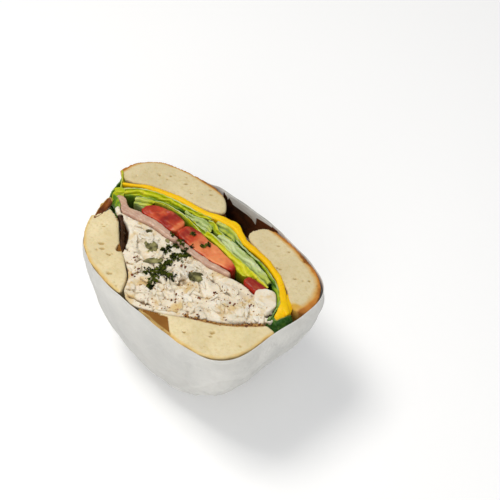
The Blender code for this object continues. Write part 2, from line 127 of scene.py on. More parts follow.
# Bands of lettuce in the cut, as they show from the front right: name, upper edge, lower edge, depth of each
# edge, thickness, tone from 0 (dark green) to 1 (lime) and beyond (yellow), paleness, and the node replaced
BANDS = (
    ("leaf_under_cheese",
     ((-51.5, 2.5), (-49.5, 6.0), (-45, 10.5), (-37.5, 14.8), (-28, 16.9), (-20.5, 18.2), (-13, 19.6),
      (-6.5, 21.6)),
     ((-49.5, -1), (-46, 3.2), (-41.5, 7.5), (-36, 9.4), (-28.5, 12.8), (-21.5, 14.8), (-14, 16.4),
      (-7.5, 18)), (0.2, 2.4), 0.6, 0.95, 0.0, "lettuce_leaf_1"),
    ("leaf_left_inner", ((-42, 5.5), (-39.5, 8), (-35.5, 9.6), (-33, 10.4)),
     ((-40, 2.6), (-38, 3), (-35, 3), (-33, 4)), (1.2, 2.8), 0.6, 1.0, 0.45, None),
    ("leaf_on_tomato",
     ((-34, 10.2), (-30.5, 12.1), (-27, 12.8), (-23, 13.3), (-19, 13.5), (-15, 13.3), (-10, 12.4),
      (-5, 11.4)),
     ((-33.6, 9.4), (-30, 11.2), (-26.6, 11.9), (-22.6, 12.4), (-18.6, 12.6), (-14.8, 12.3), (-10, 11.5),
      (-5, 10.6)), (0.0, 0.7), 0.35, 1.25, 0.35, "lettuce_leaf_3"),
    ("leaf_olive", ((-18, 14.2), (-14, 14.1), (-9.5, 13.4), (-6, 13.5), (-2, 13.2)),
     ((-17.5, 13), (-12.5, 12.3), (-8, 11.5), (-4.5, 10.9), (-0.5, 10.5)), (1.0, 2.4), 0.6, 0.6, 0.25,
     None),
    ("leaf_pale", ((-20, 15.6), (-16, 15.6), (-12, 16.8), (-9, 18.2), (-6, 17.4), (-3, 15.6)),
     ((-18.5, 13.9), (-14.5, 13.5), (-10, 13.2), (-6.5, 13.5), (-4, 13.9), (-2, 14.2)), (0.3, 1.9), 0.8,
     0.75, 0.8, None),
    ("leaf_grey", ((-5, 21), (-2.5, 22), (2, 23.2), (5.5, 22.4), (9, 20.5), (13.5, 18.8)),
     ((-4, 18), (-1, 17.6), (3.5, 17.6), (7, 17.4), (11, 17), (15, 16.8)), (0.8, 2.8), 0.7, 0.62, 0.42,
     None),
    ("leaf_curled",
     ((-8.2, 18.6), (-6, 19.8), (-3.2, 19.2), (-1.2, 17.9), (1.5, 17.4), (4.5, 17.3), (8, 17.6)),
     ((-7.2, 16.9), (-5.6, 17.6), (-3.8, 17), (-1.8, 16.1), (1, 15.8), (4.5, 15.9), (8, 16.4)),
     (0.0, 1.2), 0.5, 1.1, 0.3, "lettuce_leaf_2"),
    ("leaf_rib",
     ((2, 16.4), (7, 17), (11.5, 16.6), (16, 16.4), (20, 15.9), (24, 15.3), (28, 14.4), (32, 13.4),
      (36.5, 11.8)),
     ((1, 15.2), (5.5, 14.4), (9.5, 13.4), (14, 12.9), (18.5, 12.6), (23, 12.3), (27, 11.8), (31, 11.2),
      (37, 9.6)), (0.0, 1.6), 1.4, 0.95, 0.95, "lettuce_rib"),
    ("leaf_yellow",
     ((-4.5, 14.1), (2, 13.8), (6, 13.3), (10, 12.7), (14, 12.3), (18, 12.2), (22, 11.8), (26, 11.3),
      (32, 10.6), (38, 9.2)),
     ((-3.5, 10.8), (3, 11), (6.5, 10.8), (9.5, 10.3), (13, 9.7), (17, 8.4), (21, 6.9), (25, 6.6),
      (30.5, 9), (38, 8.4)), (0.1, 1.8), 0.7, 1.3, 0.0, None),
    ("leaf_dark",
     ((8.5, 19.4), (12, 18.6), (16, 18), (21, 17.4), (25.5, 17.2), (29, 16.6), (33, 15), (37, 13.8),
      (41, 12), (45, 9.2), (48, 5)),
     ((8, 17.4), (12.5, 16.7), (17, 16.3), (21.5, 15.8), (25.5, 15.2), (29.5, 14.4), (32.5, 13.6),
      (36.5, 11.8), (41, 9.2), (44.5, 6.2), (47, 2.6)), (0.3, 2.6), 0.7, 0.4, 0.0, None),
)

# Tone of the tomato along x, from 0 (deep red) to 1 (pale orange)
TOMATO_TONE = (
    (-34, 0.10), (-30, 0.30), (-26, 0.42), (-22, 0.02), (-18, 0.02), (-15, 0.55), (-13, 0.30), (-9, 0.0),
    (-5, 0.35), (-1, 0.60), (5, 0.66), (9, 0.9), (14, 0.85), (18, 0.5), (20, 0.1), (27, 0.0), (38, 0.02),
)
# Colour of the onion along x, from 0 (pinkish tan) to 1 (pale mauve)
ONION_TONE = (
    (-48, 0.0), (-42, 0.15), (-36, 0.5), (-28, 0.8), (-10, 1.0), (0, 0.9), (10, 0.75), (20, 0.6),
)

# Lines on the cut face: the crack beside the left lobe, a pit at the right end, and the sauce
CRACK = (
    (-38.4, -7.2), (-36.6, -7.8), (-33.3, -8.7), (-30.5, -10.3), (-28.1, -12.8), (-25.7, -15.2),
    (-24, -17.8), (-23.0, -20.0),
)
PIT = ((46.6, -0.6), (47.8, 0.6))
SAUCE_LINE = (
    (23.0, -24.6), (26, -23.6), (29.8, -21.9), (34.9, -19.1), (40.3, -15.2), (43.3, -12.3), (46.4, -9.2),
    (49.6, -5.9),
)
# Clumps of herbs: x, y, spread and count
HERB_SPOTS = (
    (1.7, -24.1, 1.1, 14), (0.2, -20.9, 1.3, 16), (-1.5, -18.2, 1.5, 18), (-0.1, -15.4, 1.6, 20),
    (3.5, -14.6, 1.2, 14), (-2.4, -13.0, 1.3, 12), (-2.2, -10.4, 1.3, 14), (-2.4, -6.8, 1.4, 16),
    (-0.6, -4.2, 1.3, 13), (-0.3, -1.8, 1.0, 8), (-2.7, -0.8, 0.8, 5), (-8.9, -7.0, 0.9, 10),
    (-8.7, -4.2, 0.8, 8), (-8.3, -1.2, 0.8, 6), (-8.4, 2.2, 0.9, 6), (-5.0, -19.6, 1.3, 12),
    (-5.6, 0.8, 0.7, 3), (1.2, 6.4, 0.7, 5), (2.2, 8.2, 0.6, 4), (-6.9, 8.4, 0.7, 4),
    (-12.5, 1.6, 0.6, 3), (-1.7, 2.6, 0.7, 3),
)
# Pickles: x, y, half length, half width and turn
PICKLE_SPOTS = (
    (11.9, -7.4, 3.7, 2.6, 0.5), (-15.4, -8.4, 3.3, 2.2, 0.2), (-7.6, -13.4, 4.0, 1.3, 0.9),
    (-22.6, -3.4, 1.7, 1.2, 0.6), (-12.5, -1.7, 1.1, 0.8, 0.1), (-13.4, -10.6, 1.2, 0.7, 1.2),
)
SPICE_SPOTS = (
    (-14.5, -18.3), (-7.6, -25.7), (4.2, -8.2), (12.8, -19.1), (20.5, -14.2), (39, -2.5), (27.5, -21.3),
    (33.1, -7), (-7.9, -27.4), (-9.1, -21.5), (15.2, -22.3), (23.6, -7),
)
# Large pores of the crumb: x, y and half width
PORES = (
    (-31, -23.2, 1.3), (-28.4, -24.9, 1.1), (-23.4, -25.1, 0.8), (-15, -31.7, 0.9), (31.9, 19.5, 0.9),
    (33.7, 20.4, 0.8), (-32, 27.3, 0.8), (-38, -16, 0.7), (-19, 30.5, 0.7), (24, 29.5, 0.7),
    (42, 21, 0.7), (30, -31, 0.8), (39, -25, 0.7), (-26, 25, 0.6),
)
# How far the bottom bread reaches up beside the salad at its right end, along x
CORNER_LIFT = ((28, 0), (38, 1.8), (45.3, 3.7), (50.6, 4.8), (58, 4.8))
# Outer and inner edge of the browned bubble, and corners of the crust that shows beside the hole
BROWNED_OUTER = ((-45.0, -16.1), (-48.0, -10.8), (-49.2, -7.1), (-50.3, -3.6), (-49.2, -2.1))
BROWNED_INNER = ((-44.6, -16.0), (-44.1, -11.8), (-45.2, -7.8), (-45.8, -5.1), (-47.2, -3.1))
CRUST_WEDGE = ((7.5, -34.6), (17.7, -30.6), (20.8, -31.3), (26.7, -35.7))
# Middle of the white chunk at the right end, and of the seam between the tomato slices
WHITE_CHUNK = (41.0, 3.2)
TOMATO_SEAM = (-14.4, 6.6)

# Lower edge of the paper flap in the bagel's hole, as (x, depth) points
FLAP_EDGE = (
    (-15.3, 0.6), (-14.2, 1.4), (-13.5, 3.0), (-12.8, 1.2), (-11.7, 2.4), (-10.4, 4.0), (-5.9, 4.2),
    (-1.4, 4.3), (1.6, 5.0), (3.7, 6.6), (4.1, 2.0), (7.9, 1.3), (14.1, 0.5),
)


class SandwichSizes(bpy.types.PropertyGroup):
    """Sizes of the visible detail."""

    bread_grain: FloatProperty(name="Bread mesh size", description="Edge length of the bread's surface mesh",
                               default=0.00046, unit="LENGTH", subtype="DISTANCE")
    salad_grain: FloatProperty(name="Salad mesh size", description="Edge length of the salad's surface mesh",
                               default=0.00038, unit="LENGTH", subtype="DISTANCE")
    slice_grain: FloatProperty(name="Slice mesh size", description="Edge length on cheese, tomato and onion",
                               default=0.00042, unit="LENGTH", subtype="DISTANCE")
    pore_depth: FloatProperty(name="Pore depth", description="Depth of the pores in the bread's cut face",
                              default=0.0009, unit="LENGTH", subtype="DISTANCE")
    crag_depth: FloatProperty(name="Crevice depth", description="Depth of the gaps between chicken pieces",
                              default=0.0014, unit="LENGTH", subtype="DISTANCE")
    chunk_count: IntProperty(name="Chicken chunks", description="Chunks of chicken that show in the cut",
                             default=34, min=0)
    shred_count: IntProperty(name="Chicken shreds", description="Thin shreds of chicken that show in the cut",
                             default=60, min=0)
    speck_count: IntProperty(name="Spice specks", description="Specks of spice strewn on the salad",
                             default=150, min=0)
    paper_thickness: FloatProperty(name="Paper thickness", description="Thickness of the visible paper",
                                   default=0.00025, unit="LENGTH", subtype="DISTANCE")
    seed: IntProperty(name="Seed", description="Start of the random draws", default=11)


class SandwichColours(bpy.types.PropertyGroup):
    """Colours of the pieces."""

    crumb: FloatVectorProperty(name="Crumb", description="Soft inside of the bread", subtype="COLOR",
                               default=(0.79, 0.67, 0.41))
    crust_top: FloatVectorProperty(name="Top crust", description="Brown crust of the top bread",
                                   subtype="COLOR", default=(0.46, 0.16, 0.025))
    crust_bottom: FloatVectorProperty(name="Bottom crust", description="Golden crust of the bottom bread",
                                      subtype="COLOR", default=(0.60, 0.34, 0.10))
    cheese: FloatVectorProperty(name="Cheese", description="Yellow cheese slice", subtype="COLOR",
                                default=(0.93, 0.55, 0.004))
    leaf_light: FloatVectorProperty(name="Light leaf", description="Yellow-green of the leaf edges",
                                    subtype="COLOR", default=(0.52, 0.56, 0.004))
    # Dark green of the leaves; the bands also use it as painted shade in their folds
    leaf_dark: FloatVectorProperty(name="Dark leaf", description="Green in the folds", subtype="COLOR",
                                   default=(0.022, 0.095, 0.008))
    rib: FloatVectorProperty(name="Leaf rib", description="Pale ribs of the leaves", subtype="COLOR",
                             default=(0.56, 0.64, 0.30))
    tomato: FloatVectorProperty(name="Tomato", description="Deep red flesh", subtype="COLOR",
                                default=(0.30, 0.018, 0.010))
    tomato_pale: FloatVectorProperty(name="Pale tomato", description="Pale core of the tomato",
                                     subtype="COLOR", default=(0.82, 0.27, 0.10))
    onion: FloatVectorProperty(name="Onion", description="Onion flesh", subtype="COLOR",
                               default=(0.66, 0.47, 0.35))
    onion_tan: FloatVectorProperty(name="Onion end", description="Pinkish tan of the outer onion",
                                   subtype="COLOR", default=(0.64, 0.43, 0.28))
    onion_line: FloatVectorProperty(name="Onion line", description="Mauve skins between onion rings",
                                    subtype="COLOR", default=(0.42, 0.20, 0.17))
    chicken: FloatVectorProperty(name="Chicken", description="Dressed chicken", subtype="COLOR",
                                 default=(0.81, 0.73, 0.58))
    herb: FloatVectorProperty(name="Herb", description="Chopped herbs", subtype="COLOR",
                              default=(0.038, 0.055, 0.006))
    paper: FloatVectorProperty(name="Paper", description="Wrapping paper", subtype="COLOR",
                               default=(0.70, 0.685, 0.64))


# Shape of the stack

def line_at(points, x):
    """Height of a smooth line through the points, at x."""
    if x <= points[0][0]:
        return points[0][1]
    if x >= points[-1][0]:
        return points[-1][1]
    i = max(k for k, p in enumerate(points) if p[0] <= x)
    i = min(i, len(points) - 2)
    before = points[max(i - 1, 0)]
    a, b = points[i], points[i + 1]
    after = points[min(i + 2, len(points) - 1)]
    span = b[0] - a[0]
    t = (x - a[0]) / span
    slope_a = (b[1] - before[1]) / (b[0] - before[0])
    slope_b = (after[1] - a[1]) / (after[0] - a[0])
    return (
        (2 * t**3 - 3 * t**2 + 1) * a[1]
        + (t**3 - 2 * t**2 + t) * span * slope_a
        + (3 * t**2 - 2 * t**3) * b[1]
        + (t**3 - t**2) * span * slope_b
    )


def rightness(turn):
    """1 at the right end of the half, 0 at the left end."""
    return (1 + math.cos(turn)) / 2


def around(points, r, turn):
    """A cut-face line carried round the bagel."""
    w = rightness(turn)
    return w * line_at(points, r) + (1 - w) * line_at(points, -r)


def cheese_low(r, turn):
    return around(CHEESE_TOP, r, turn) - around(CHEESE_THICKNESS, r, turn) - 0.3


def tomato_top(r, turn):
    return cheese_low(r, turn) - around(LETTUCE_THICKNESS, r, turn) - 0.3


def salad_top(r, turn):
    tomato = max(around(TOMATO_THICKNESS, r, turn), 0.0)
    onion = max(around(ONION_THICKNESS, r, turn), 0.0)
    return tomato_top(r, turn) - tomato - onion - 0.9


def salad_bottom(r, turn):
    return around(BOTTOM_BREAD_FACE, r, turn) + 0.96


def smooth_step(low, high, x):
    """0 at low, 1 at high and smooth between them; low may be the larger one."""
    t = min(max((x - low) / (high - low), 0.0), 1.0)
    return t * t * (3 - 2 * t)


def wrap_radius(s, turn):
    w = rightness(turn)
    low = w * RADIUS_RIGHT[0] + (1 - w) * RADIUS_LEFT[0] + RADIUS_BELOW * 4 * w * (1 - w)
    high = w * RADIUS_RIGHT[1] + (1 - w) * RADIUS_LEFT[1]
    return low + (high - low) * smooth_step(-0.25, 0.3, s)


def squareness(s, turn):
    w = rightness(turn)
    half = 1 if s > 0 else 0
    return w * SQUARENESS_RIGHT[half] + (1 - w) * SQUARENESS_LEFT[half]


def dome(s, r, turn):
    w = rightness(turn)
    fall = w * TOP_DOME[0] + (1 - w) * TOP_DOME[1]
    return 1 - fall * (r / wrap_radius(1.0, turn)) ** 2 if s > 0 else 1.0


def outline_share(r, y, turn):
    """How far out a point lies, as a share of the way from the stack's centre to its outline."""
    s = (y - STACK_CENTRE) / HALF_THICKNESS
    s /= dome(s, r, turn)
    n = squareness(s, turn)
    return ((r / wrap_radius(s, turn)) ** n + abs(s) ** n) ** (1 / n)


def outline_height(r, turn):
    """Height of the stack's outer face at radius r, on the top bread."""
    n = squareness(1, turn)
    reach = min(r / wrap_radius(0.8, turn), 0.999)
    return STACK_CENTRE + HALF_THICKNESS * (1 - reach**n) ** (1 / n) * dome(1, r, turn)


def under_skin(x, y, d):
    """Distance of a point to the outside of its bread, in millimetres."""
    r, turn = polar(x, max(d, 0.0))
    share = max(outline_share(r, y, turn), 0.01)
    return max(math.hypot(r, y - STACK_CENTRE) * (1 / share - 1) - SKIN_GAP, 0.0)


def to_frame(x, y, d):
    """The part's own place of a point in the drawing."""
    return (Vector((x, y, CUT_HEIGHT - d)) + SHIFT) * MM


def to_drawing(point):
    """x, y and depth of a place in the part's frame."""
    p = point / MM - SHIFT
    return p.x, p.y, CUT_HEIGHT - p.z


def half_disc(u, w):
    """Maps u in -1..1 and w in 0..1 on the half disc of radius 1, evenly, as (x, depth, rho)."""
    if u == 0 and w == 0:
        return 0.0, 0.0, 0.0
    if abs(u) > w:
        rho = abs(u)
        angle = math.pi / 4 * (w / abs(u))
        return math.copysign(rho * math.cos(angle), u), rho * math.sin(angle), rho
    rho = w
    angle = math.pi / 2 - math.pi / 4 * (u / w)
    return rho * math.cos(angle), rho * math.sin(angle), rho


def distance_to_line(points, x, y):
    """Distance of (x, y) to the nearest stretch of a line of points."""
    here = Vector((x, y))
    best = 1e9
    for a, b in zip(points, points[1:]):
        start, step = Vector(a[:2]), Vector(b[:2]) - Vector(a[:2])
        t = min(max((here - start).dot(step) / step.length_squared, 0.0), 1.0)
        best = min(best, (here - start - step * t).length)
    return best


def path_at(points, t):
    """The point a share t along a line of points, counted by the points."""
    along = t * (len(points) - 1)
    i = min(int(along), len(points) - 2)
    return Vector(points[i]).lerp(Vector(points[i + 1]), along - i)


def smooth_path(points, t):
    """The same, with the corners between the points rounded off."""
    step = 0.35 / (len(points) - 1)
    before = path_at(points, max(t - step, 0.0))
    after = path_at(points, min(t + step, 1.0))
    return (before + path_at(points, t) * 2 + after) / 4


def flat_path(points, t):
    """The same along (x, y) points, with a depth of 0."""
    return smooth_path([(*point, 0) for point in points], t)


def polar(x, d):
    """Radius and turn about the bagel's axis."""
    return math.hypot(x, d), math.atan2(d, x)


# Modelling steps that several pieces share

def deselect_all():
    if bpy.context.object and bpy.context.object.mode != "OBJECT":
        bpy.ops.object.mode_set(mode="OBJECT")
    bpy.ops.object.select_all(action="DESELECT")


def make_active(piece):
    deselect_all()
    piece.select_set(True)
    bpy.context.view_layer.objects.active = piece


def name_piece(piece, name):
    piece.name = name
    piece.data.name = name
    return piece


def copy_node(node, name):
    """Copies a solid of the part as a new piece, with the doubled corners of its triangles merged."""
    make_active(frame["nodes"][node])
    bpy.ops.object.duplicate()
    piece = name_piece(bpy.context.object, name)
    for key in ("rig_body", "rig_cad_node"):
        del piece[key]
    piece.parent = None
    bpy.ops.object.mode_set(mode="EDIT")
    bpy.ops.mesh.select_all(action="SELECT")
    bpy.ops.mesh.remove_doubles(threshold=0.000001)
    bpy.ops.object.mode_set(mode="OBJECT")
    piece.data.materials.clear()
    return piece


def make_grid(name, columns, rows):
    """A flat grid from -1 to 1, ready to be bent into a sheet."""
    deselect_all()
    bpy.ops.mesh.primitive_grid_add(x_subdivisions=columns, y_subdivisions=rows, size=2)
    return name_piece(bpy.context.object, name)


def apply_modifier(piece, kind, **settings):
    """Adds one modifier, sets it and applies it."""
    make_active(piece)
    modifier = piece.modifiers.new(kind.lower(), kind)
    for key, value in settings.items():
        setattr(modifier, key, value)
    bpy.ops.object.modifier_apply(modifier=modifier.name)


def remesh(piece, size):
    apply_modifier(piece, "REMESH", mode="VOXEL", voxel_size=size, adaptivity=0.0)


def soften(piece, factor, times):
    apply_modifier(piece, "SMOOTH", factor=factor, iterations=times)


def shade_smooth(piece, angle=SMOOTH_ANGLE):
    make_active(piece)
    bpy.ops.object.shade_smooth_by_angle(angle=math.radians(angle))


def recalculate_normals(piece):
    make_active(piece)
    bpy.ops.object.mode_set(mode="EDIT")
    bpy.ops.mesh.select_all(action="SELECT")
    bpy.ops.mesh.normals_make_consistent(inside=False)
    bpy.ops.object.mode_set(mode="OBJECT")


def thicken(sheet, thickness, angle):
    """Gives a bent sheet its wall, to both sides alike, and smooth faces that point outwards."""
    apply_modifier(sheet, "SOLIDIFY", thickness=thickness, offset=0.0)
    recalculate_normals(sheet)
    shade_smooth(sheet, angle)


def sheet_places(sheet):
    """Each vertex of a flat grid, with its share t along the sheet and its share w down the sheet."""
    for vert in sheet.data.vertices:
        yield vert, (vert.co.x + 1) / 2, (1 - vert.co.y) / 2


def displace(piece, move):
    """Moves each vertex along its normal by move(x, y, d, normal), in millimetres."""
    mesh = piece.data
    normals = [vert.normal.copy() for vert in mesh.vertices]
    for vert, normal in zip(mesh.vertices, normals):
        x, y, d = to_drawing(vert.co)
        vert.co += normal * (move(x, y, d, normal) * MM)
    mesh.update()


def store(piece, name, values):
    layer = piece.data.attributes.new(name, "FLOAT", "POINT")
    layer.data.foreach_set("value", values)


def write_attribute(piece, name, value):
    """Stores value(x, y, d, normal) on each vertex."""
    store(piece, name, [value(*to_drawing(vert.co), vert.normal) for vert in piece.data.vertices])


def noise_at(x, y, d, size, octaves=2):
    """Fractal noise with features of the given size in millimetres, from about -1 to 1."""
    spot = Vector((x, y, d)) / size
    total, weight = 0.0, 1.0
    for _ in range(octaves):
        total += weight * noise.noise(spot)
        spot *= 2.03
        weight *= 0.5
    return total


def cell_at(x, y, d, size):
    """Distances to the nearest and the second nearest cell point, and a random number of the nearest cell."""
    distances, points = noise.voronoi(Vector((x, y, d)) / size)
    return distances[0], distances[1], noise.cell(points[0] * 5.3)


def finish_piece(piece, material, nodes=()):
    """Gives a piece its material and its body, and lets it stand for its solids."""
    piece.data.materials.clear()
    piece.data.materials.append(material)
    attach(piece, "root")
    for node in nodes:
        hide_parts(node)
    return piece


def join_pieces(pieces, name):
    make_active(pieces[0])
    for piece in pieces:
        piece.select_set(True)
    bpy.ops.object.join()
    return name_piece(bpy.context.object, name)


# Materials

class Shader:
    """A short way to lay out the nodes of one material."""

    def __init__(self, name, roughness, shine=0.22):
        self.material = bpy.data.materials.new(name)
        self.material.use_nodes = True
        self.nodes = self.material.node_tree.nodes
        self.links = self.material.node_tree.links
        self.surface = self.nodes["Principled BSDF"]
        self.surface.inputs["Roughness"].default_value = roughness
        self.surface.inputs["Specular IOR Level"].default_value = shine
        self.place = self.node("ShaderNodeTexCoord").outputs["Object"]

    def feed(self, socket, value):
        """Links the socket to another one, or sets it to a number or a vector."""
        if isinstance(value, bpy.types.NodeSocket):
            self.links.new(value, socket)
        else:
            socket.default_value = value

    def node(self, kind, **inputs):
        made = self.nodes.new(kind)
        for key, value in inputs.items():
            self.feed(made.inputs[key], value)
        return made

    def attribute(self, name):
        made = self.nodes.new("ShaderNodeAttribute")
        made.attribute_name = name
        return made.outputs["Fac"]

    def stretched(self, scale, rotation=(0, 0, 0)):
        made = self.node("ShaderNodeMapping", Vector=self.place, Scale=scale, Rotation=rotation)
        return made.outputs["Vector"]

    def noise(self, scale, detail, where=None):
        where = where or self.place
        made = self.node("ShaderNodeTexNoise", Vector=where, Scale=scale, Detail=detail, Roughness=0.55)
        return made.outputs["Fac"]

    def cells(self, scale, where=None, feature="F1"):
        made = self.node("ShaderNodeTexVoronoi", Vector=where or self.place, Scale=scale)
        made.feature = feature
        return made.outputs["Distance"]

    def ramp(self, value, low, high, reverse=False):
        """Clamps and stretches a value from low..high to 0..1."""
        made = self.node("ShaderNodeMapRange", Value=value)
        made.inputs["From Min"].default_value = low
        made.inputs["From Max"].default_value = high
        made.inputs["To Min"].default_value = 1.0 if reverse else 0.0
        made.inputs["To Max"].default_value = 0.0 if reverse else 1.0
        return made.outputs["Result"]

    def math(self, operation, a, b):
        made = self.nodes.new("ShaderNodeMath")
        made.operation = operation
        self.feed(made.inputs[0], a)
        self.feed(made.inputs[1], b)
        return made.outputs["Value"]

    def times(self, value, factor):
        return self.math("MULTIPLY", value, factor)

    def ragged(self, name, scale, detail, amount):
        """An attribute made uneven by noise, up and down alike."""
        uneven = self.times(self.math("SUBTRACT", self.noise(scale, detail), 0.5), amount)
        return self.math("ADD", self.attribute(name), uneven)

    def mix(self, factor, a, b):
        """Mixes two colours, each a socket or a colour."""
        made = self.nodes.new("ShaderNodeMix")
        made.data_type = "RGBA"
        self.feed(made.inputs[0], factor)
        for number, value in ((6, a), (7, b)):
            is_socket = isinstance(value, bpy.types.NodeSocket)
            self.feed(made.inputs[number], value if is_socket else (*value, 1.0))
        return made.outputs[2]

    def colour(self, socket):
        self.links.new(socket, self.surface.inputs["Base Color"])

    def bump(self, height, depth, strength):
        """Bump of the given depth in metres, on top of any bump that is there."""
        made = self.node("ShaderNodeBump", Height=height, Distance=depth, Strength=strength)
        normal = self.surface.inputs["Normal"]
        if normal.links:
            self.links.new(normal.links[0].from_socket, made.inputs["Normal"])
        self.links.new(made.outputs["Normal"], normal)

    def soft(self, weight, radius, scale):
        self.surface.inputs["Subsurface Weight"].default_value = weight
        self.surface.inputs["Subsurface Radius"].default_value = radius
        self.surface.inputs["Subsurface Scale"].default_value = scale


def scaled(colour, factor):
    return tuple(min(c * factor, 1.0) for c in colour)


def tinted(colour, *factors):
    return tuple(min(c * f, 1.0) for c, f in zip(colour, factors))


def bread_material(name, crumb, crust, glow, baked_width, soaked):
    """Porous crumb that turns to a baked crust where the skin attribute nears zero.
    Its pores are darkened as painted shade, and the walls of the top bread's hole as crust in painted shade.

    The crust is baked_width millimetres thick, and glow is the colour beside it.
    The last colour is that of stained crumb and of crust at the hole,
    and it is also painted as shade in the crack.
    """
    s = Shader(name, 0.82)
    tint = s.mix(s.ramp(s.noise(75, 3), 0.3, 0.7), tinted(crumb, 0.92, 0.91, 0.86), scaled(crumb, 1.07))
    blotch = s.ramp(s.noise(310, 4, s.stretched((0.75, 1.2, 1.0), (0, 0, 0.6))), 0.53, 0.66)
    tint = s.mix(s.times(blotch, 0.45), tint, tinted(crumb, 0.84, 0.80, 0.62))
    grain = s.times(s.ramp(s.noise(820, 3), 0.30, 0.52, reverse=True), 0.5)
    tint = s.mix(grain, tint, tinted(crumb, 0.86, 0.80, 0.64))
    # Painted shade: the pores are darkened as well as sunk in
    pores = s.ramp(s.attribute("pore"), 0.1, 0.9)
    tint = s.mix(s.times(pores, 0.85), tint, tinted(crumb, 0.60, 0.47, 0.25))
    # Painted shade: the crack beside the left lobe takes this dark stain colour as well
    stain = s.ramp(s.math("ADD", s.attribute("stain"), s.times(s.noise(300, 3), 0.5)), 0.55, 1.1)
    dark_soaked = s.mix(s.ramp(s.noise(240, 3), 0.4, 0.65), tinted(soaked, 0.86, 0.80, 0.70), soaked)
    tint = s.mix(stain, tint, dark_soaked)
    skin = s.ragged("skin", 170, 3, 1.6)
    near = s.mix(s.ramp(skin, baked_width, baked_width + 1.3, reverse=True), tint, glow)
    baked = s.mix(s.ramp(s.noise(85, 3), 0.35, 0.65), scaled(crust, 0.6), tinted(crust, 1.35, 1.5, 1.6))
    tint = s.mix(s.ramp(skin, baked_width - 0.35, baked_width + 0.15, reverse=True), near, baked)
    # Painted shade: the walls of the top bread's hole turn near-black, crust in shade
    burnt = s.mix(s.ramp(s.noise(260, 2), 0.35, 0.7), (0.085, 0.018, 0.005), (0.34, 0.115, 0.02))
    s.colour(s.mix(s.ramp(s.attribute("burnt"), 0.25, 0.8), tint, burnt))
    s.bump(s.cells(1150, feature="DISTANCE_TO_EDGE"), 0.0003, 0.25)
    s.bump(s.noise(1100, 3), 0.0003, 0.45)
    s.soft(0.12, (1.0, 0.6, 0.3), 0.0012)
    return s.material


def crumb_materials(colours):
    """The materials of the top and the bottom bread: the top one is darker, with a thicker crust."""
    top_crumb = scaled(colours.crumb, 0.88)
    return (
        bread_material("top_bread", top_crumb, colours.crust_top, (0.64, 0.36, 0.09), 1.5,
                       (0.74, 0.47, 0.08)),
        # The bottom bread's last colour serves sauce, crust at the hole, and painted shade in the crack
        bread_material("bottom_bread", colours.crumb, colours.crust_bottom, (0.74, 0.52, 0.19), 0.6,
                       (0.29, 0.125, 0.02)),
    )


def hole_material():
    """Glossy crust deep in the bagel's hole, painted near-black as shade.

    It turns redder to the right, a painted reddish highlight.
    """
    s = Shader("hole_crust", 0.42)
    # Painted highlight: the crust turns redder towards the right
    warm = s.ramp(s.node("ShaderNodeSeparateXYZ", Vector=s.place).outputs["X"], -0.004, 0.012)
    tint = s.mix(s.ramp(s.noise(220, 3), 0.35, 0.7), (0.014, 0.006, 0.004), (0.075, 0.02, 0.006))
    s.colour(s.mix(s.times(warm, 0.8), tint, (0.16, 0.035, 0.008)))
    s.bump(s.noise(350, 3), 0.0006, 0.6)
    return s.material


def cheese_material(colours):
    s = Shader("cheese", 0.42, 0.12)
    c = tuple(colours.cheese)
    tint = s.mix(s.ramp(s.noise(60, 2), 0.3, 0.7), tinted(c, 0.92, 0.84, 0.8), tinted(c, 1.04, 1.10, 1.0))
    s.colour(s.mix(s.ramp(s.noise(350, 3), 0.62, 0.75), tint, tinted(c, 0.85, 0.72, 0.6)))
    s.bump(s.noise(260, 3), 0.0003, 0.5)
    s.soft(0.25, (1.0, 0.5, 0.1), 0.0015)
    return s.material


def leaf_material(name, colours):
    """Leaf: green to yellow-green by its tone, with pale veins and pale cut edges.

    The tone also holds painted shade in the folds.
    """
    s = Shader(name, 0.36, 0.2)
    patch = s.ragged("tone", 190, 3, 0.9)
    tint = s.mix(s.ramp(patch, 0.0, 0.5), colours.leaf_dark, (0.15, 0.30, 0.018))
    tint = s.mix(s.ramp(patch, 0.45, 0.95), tint, colours.leaf_light)
    tint = s.mix(s.ramp(patch, 1.1, 1.5), tint, (0.70, 0.66, 0.03))
    veins = s.cells(330, s.stretched((0.5, 1.0, 1.3)), "DISTANCE_TO_EDGE")
    tint = s.mix(s.times(s.ramp(veins, 0.0, 0.05, reverse=True), 0.12), tint, colours.rib)
    pale = s.ragged("pale", 260, 2, 0.5)
    streak = s.ramp(s.noise(120, 3, s.stretched((0.4, 2.5, 0.4))), 0.4, 0.65)
    ribbed = s.mix(streak, tinted(colours.rib, 0.72, 0.80, 0.55), tinted(colours.rib, 1.15, 1.12, 1.3))
    s.colour(s.mix(s.ramp(pale, 0.25, 0.9), tint, ribbed))
    s.bump(veins, 0.0003, 0.3)
    s.bump(s.noise(500, 2), 0.0002, 0.4)
    s.soft(0.2, (0.6, 1.0, 0.2), 0.001)
    return s.material


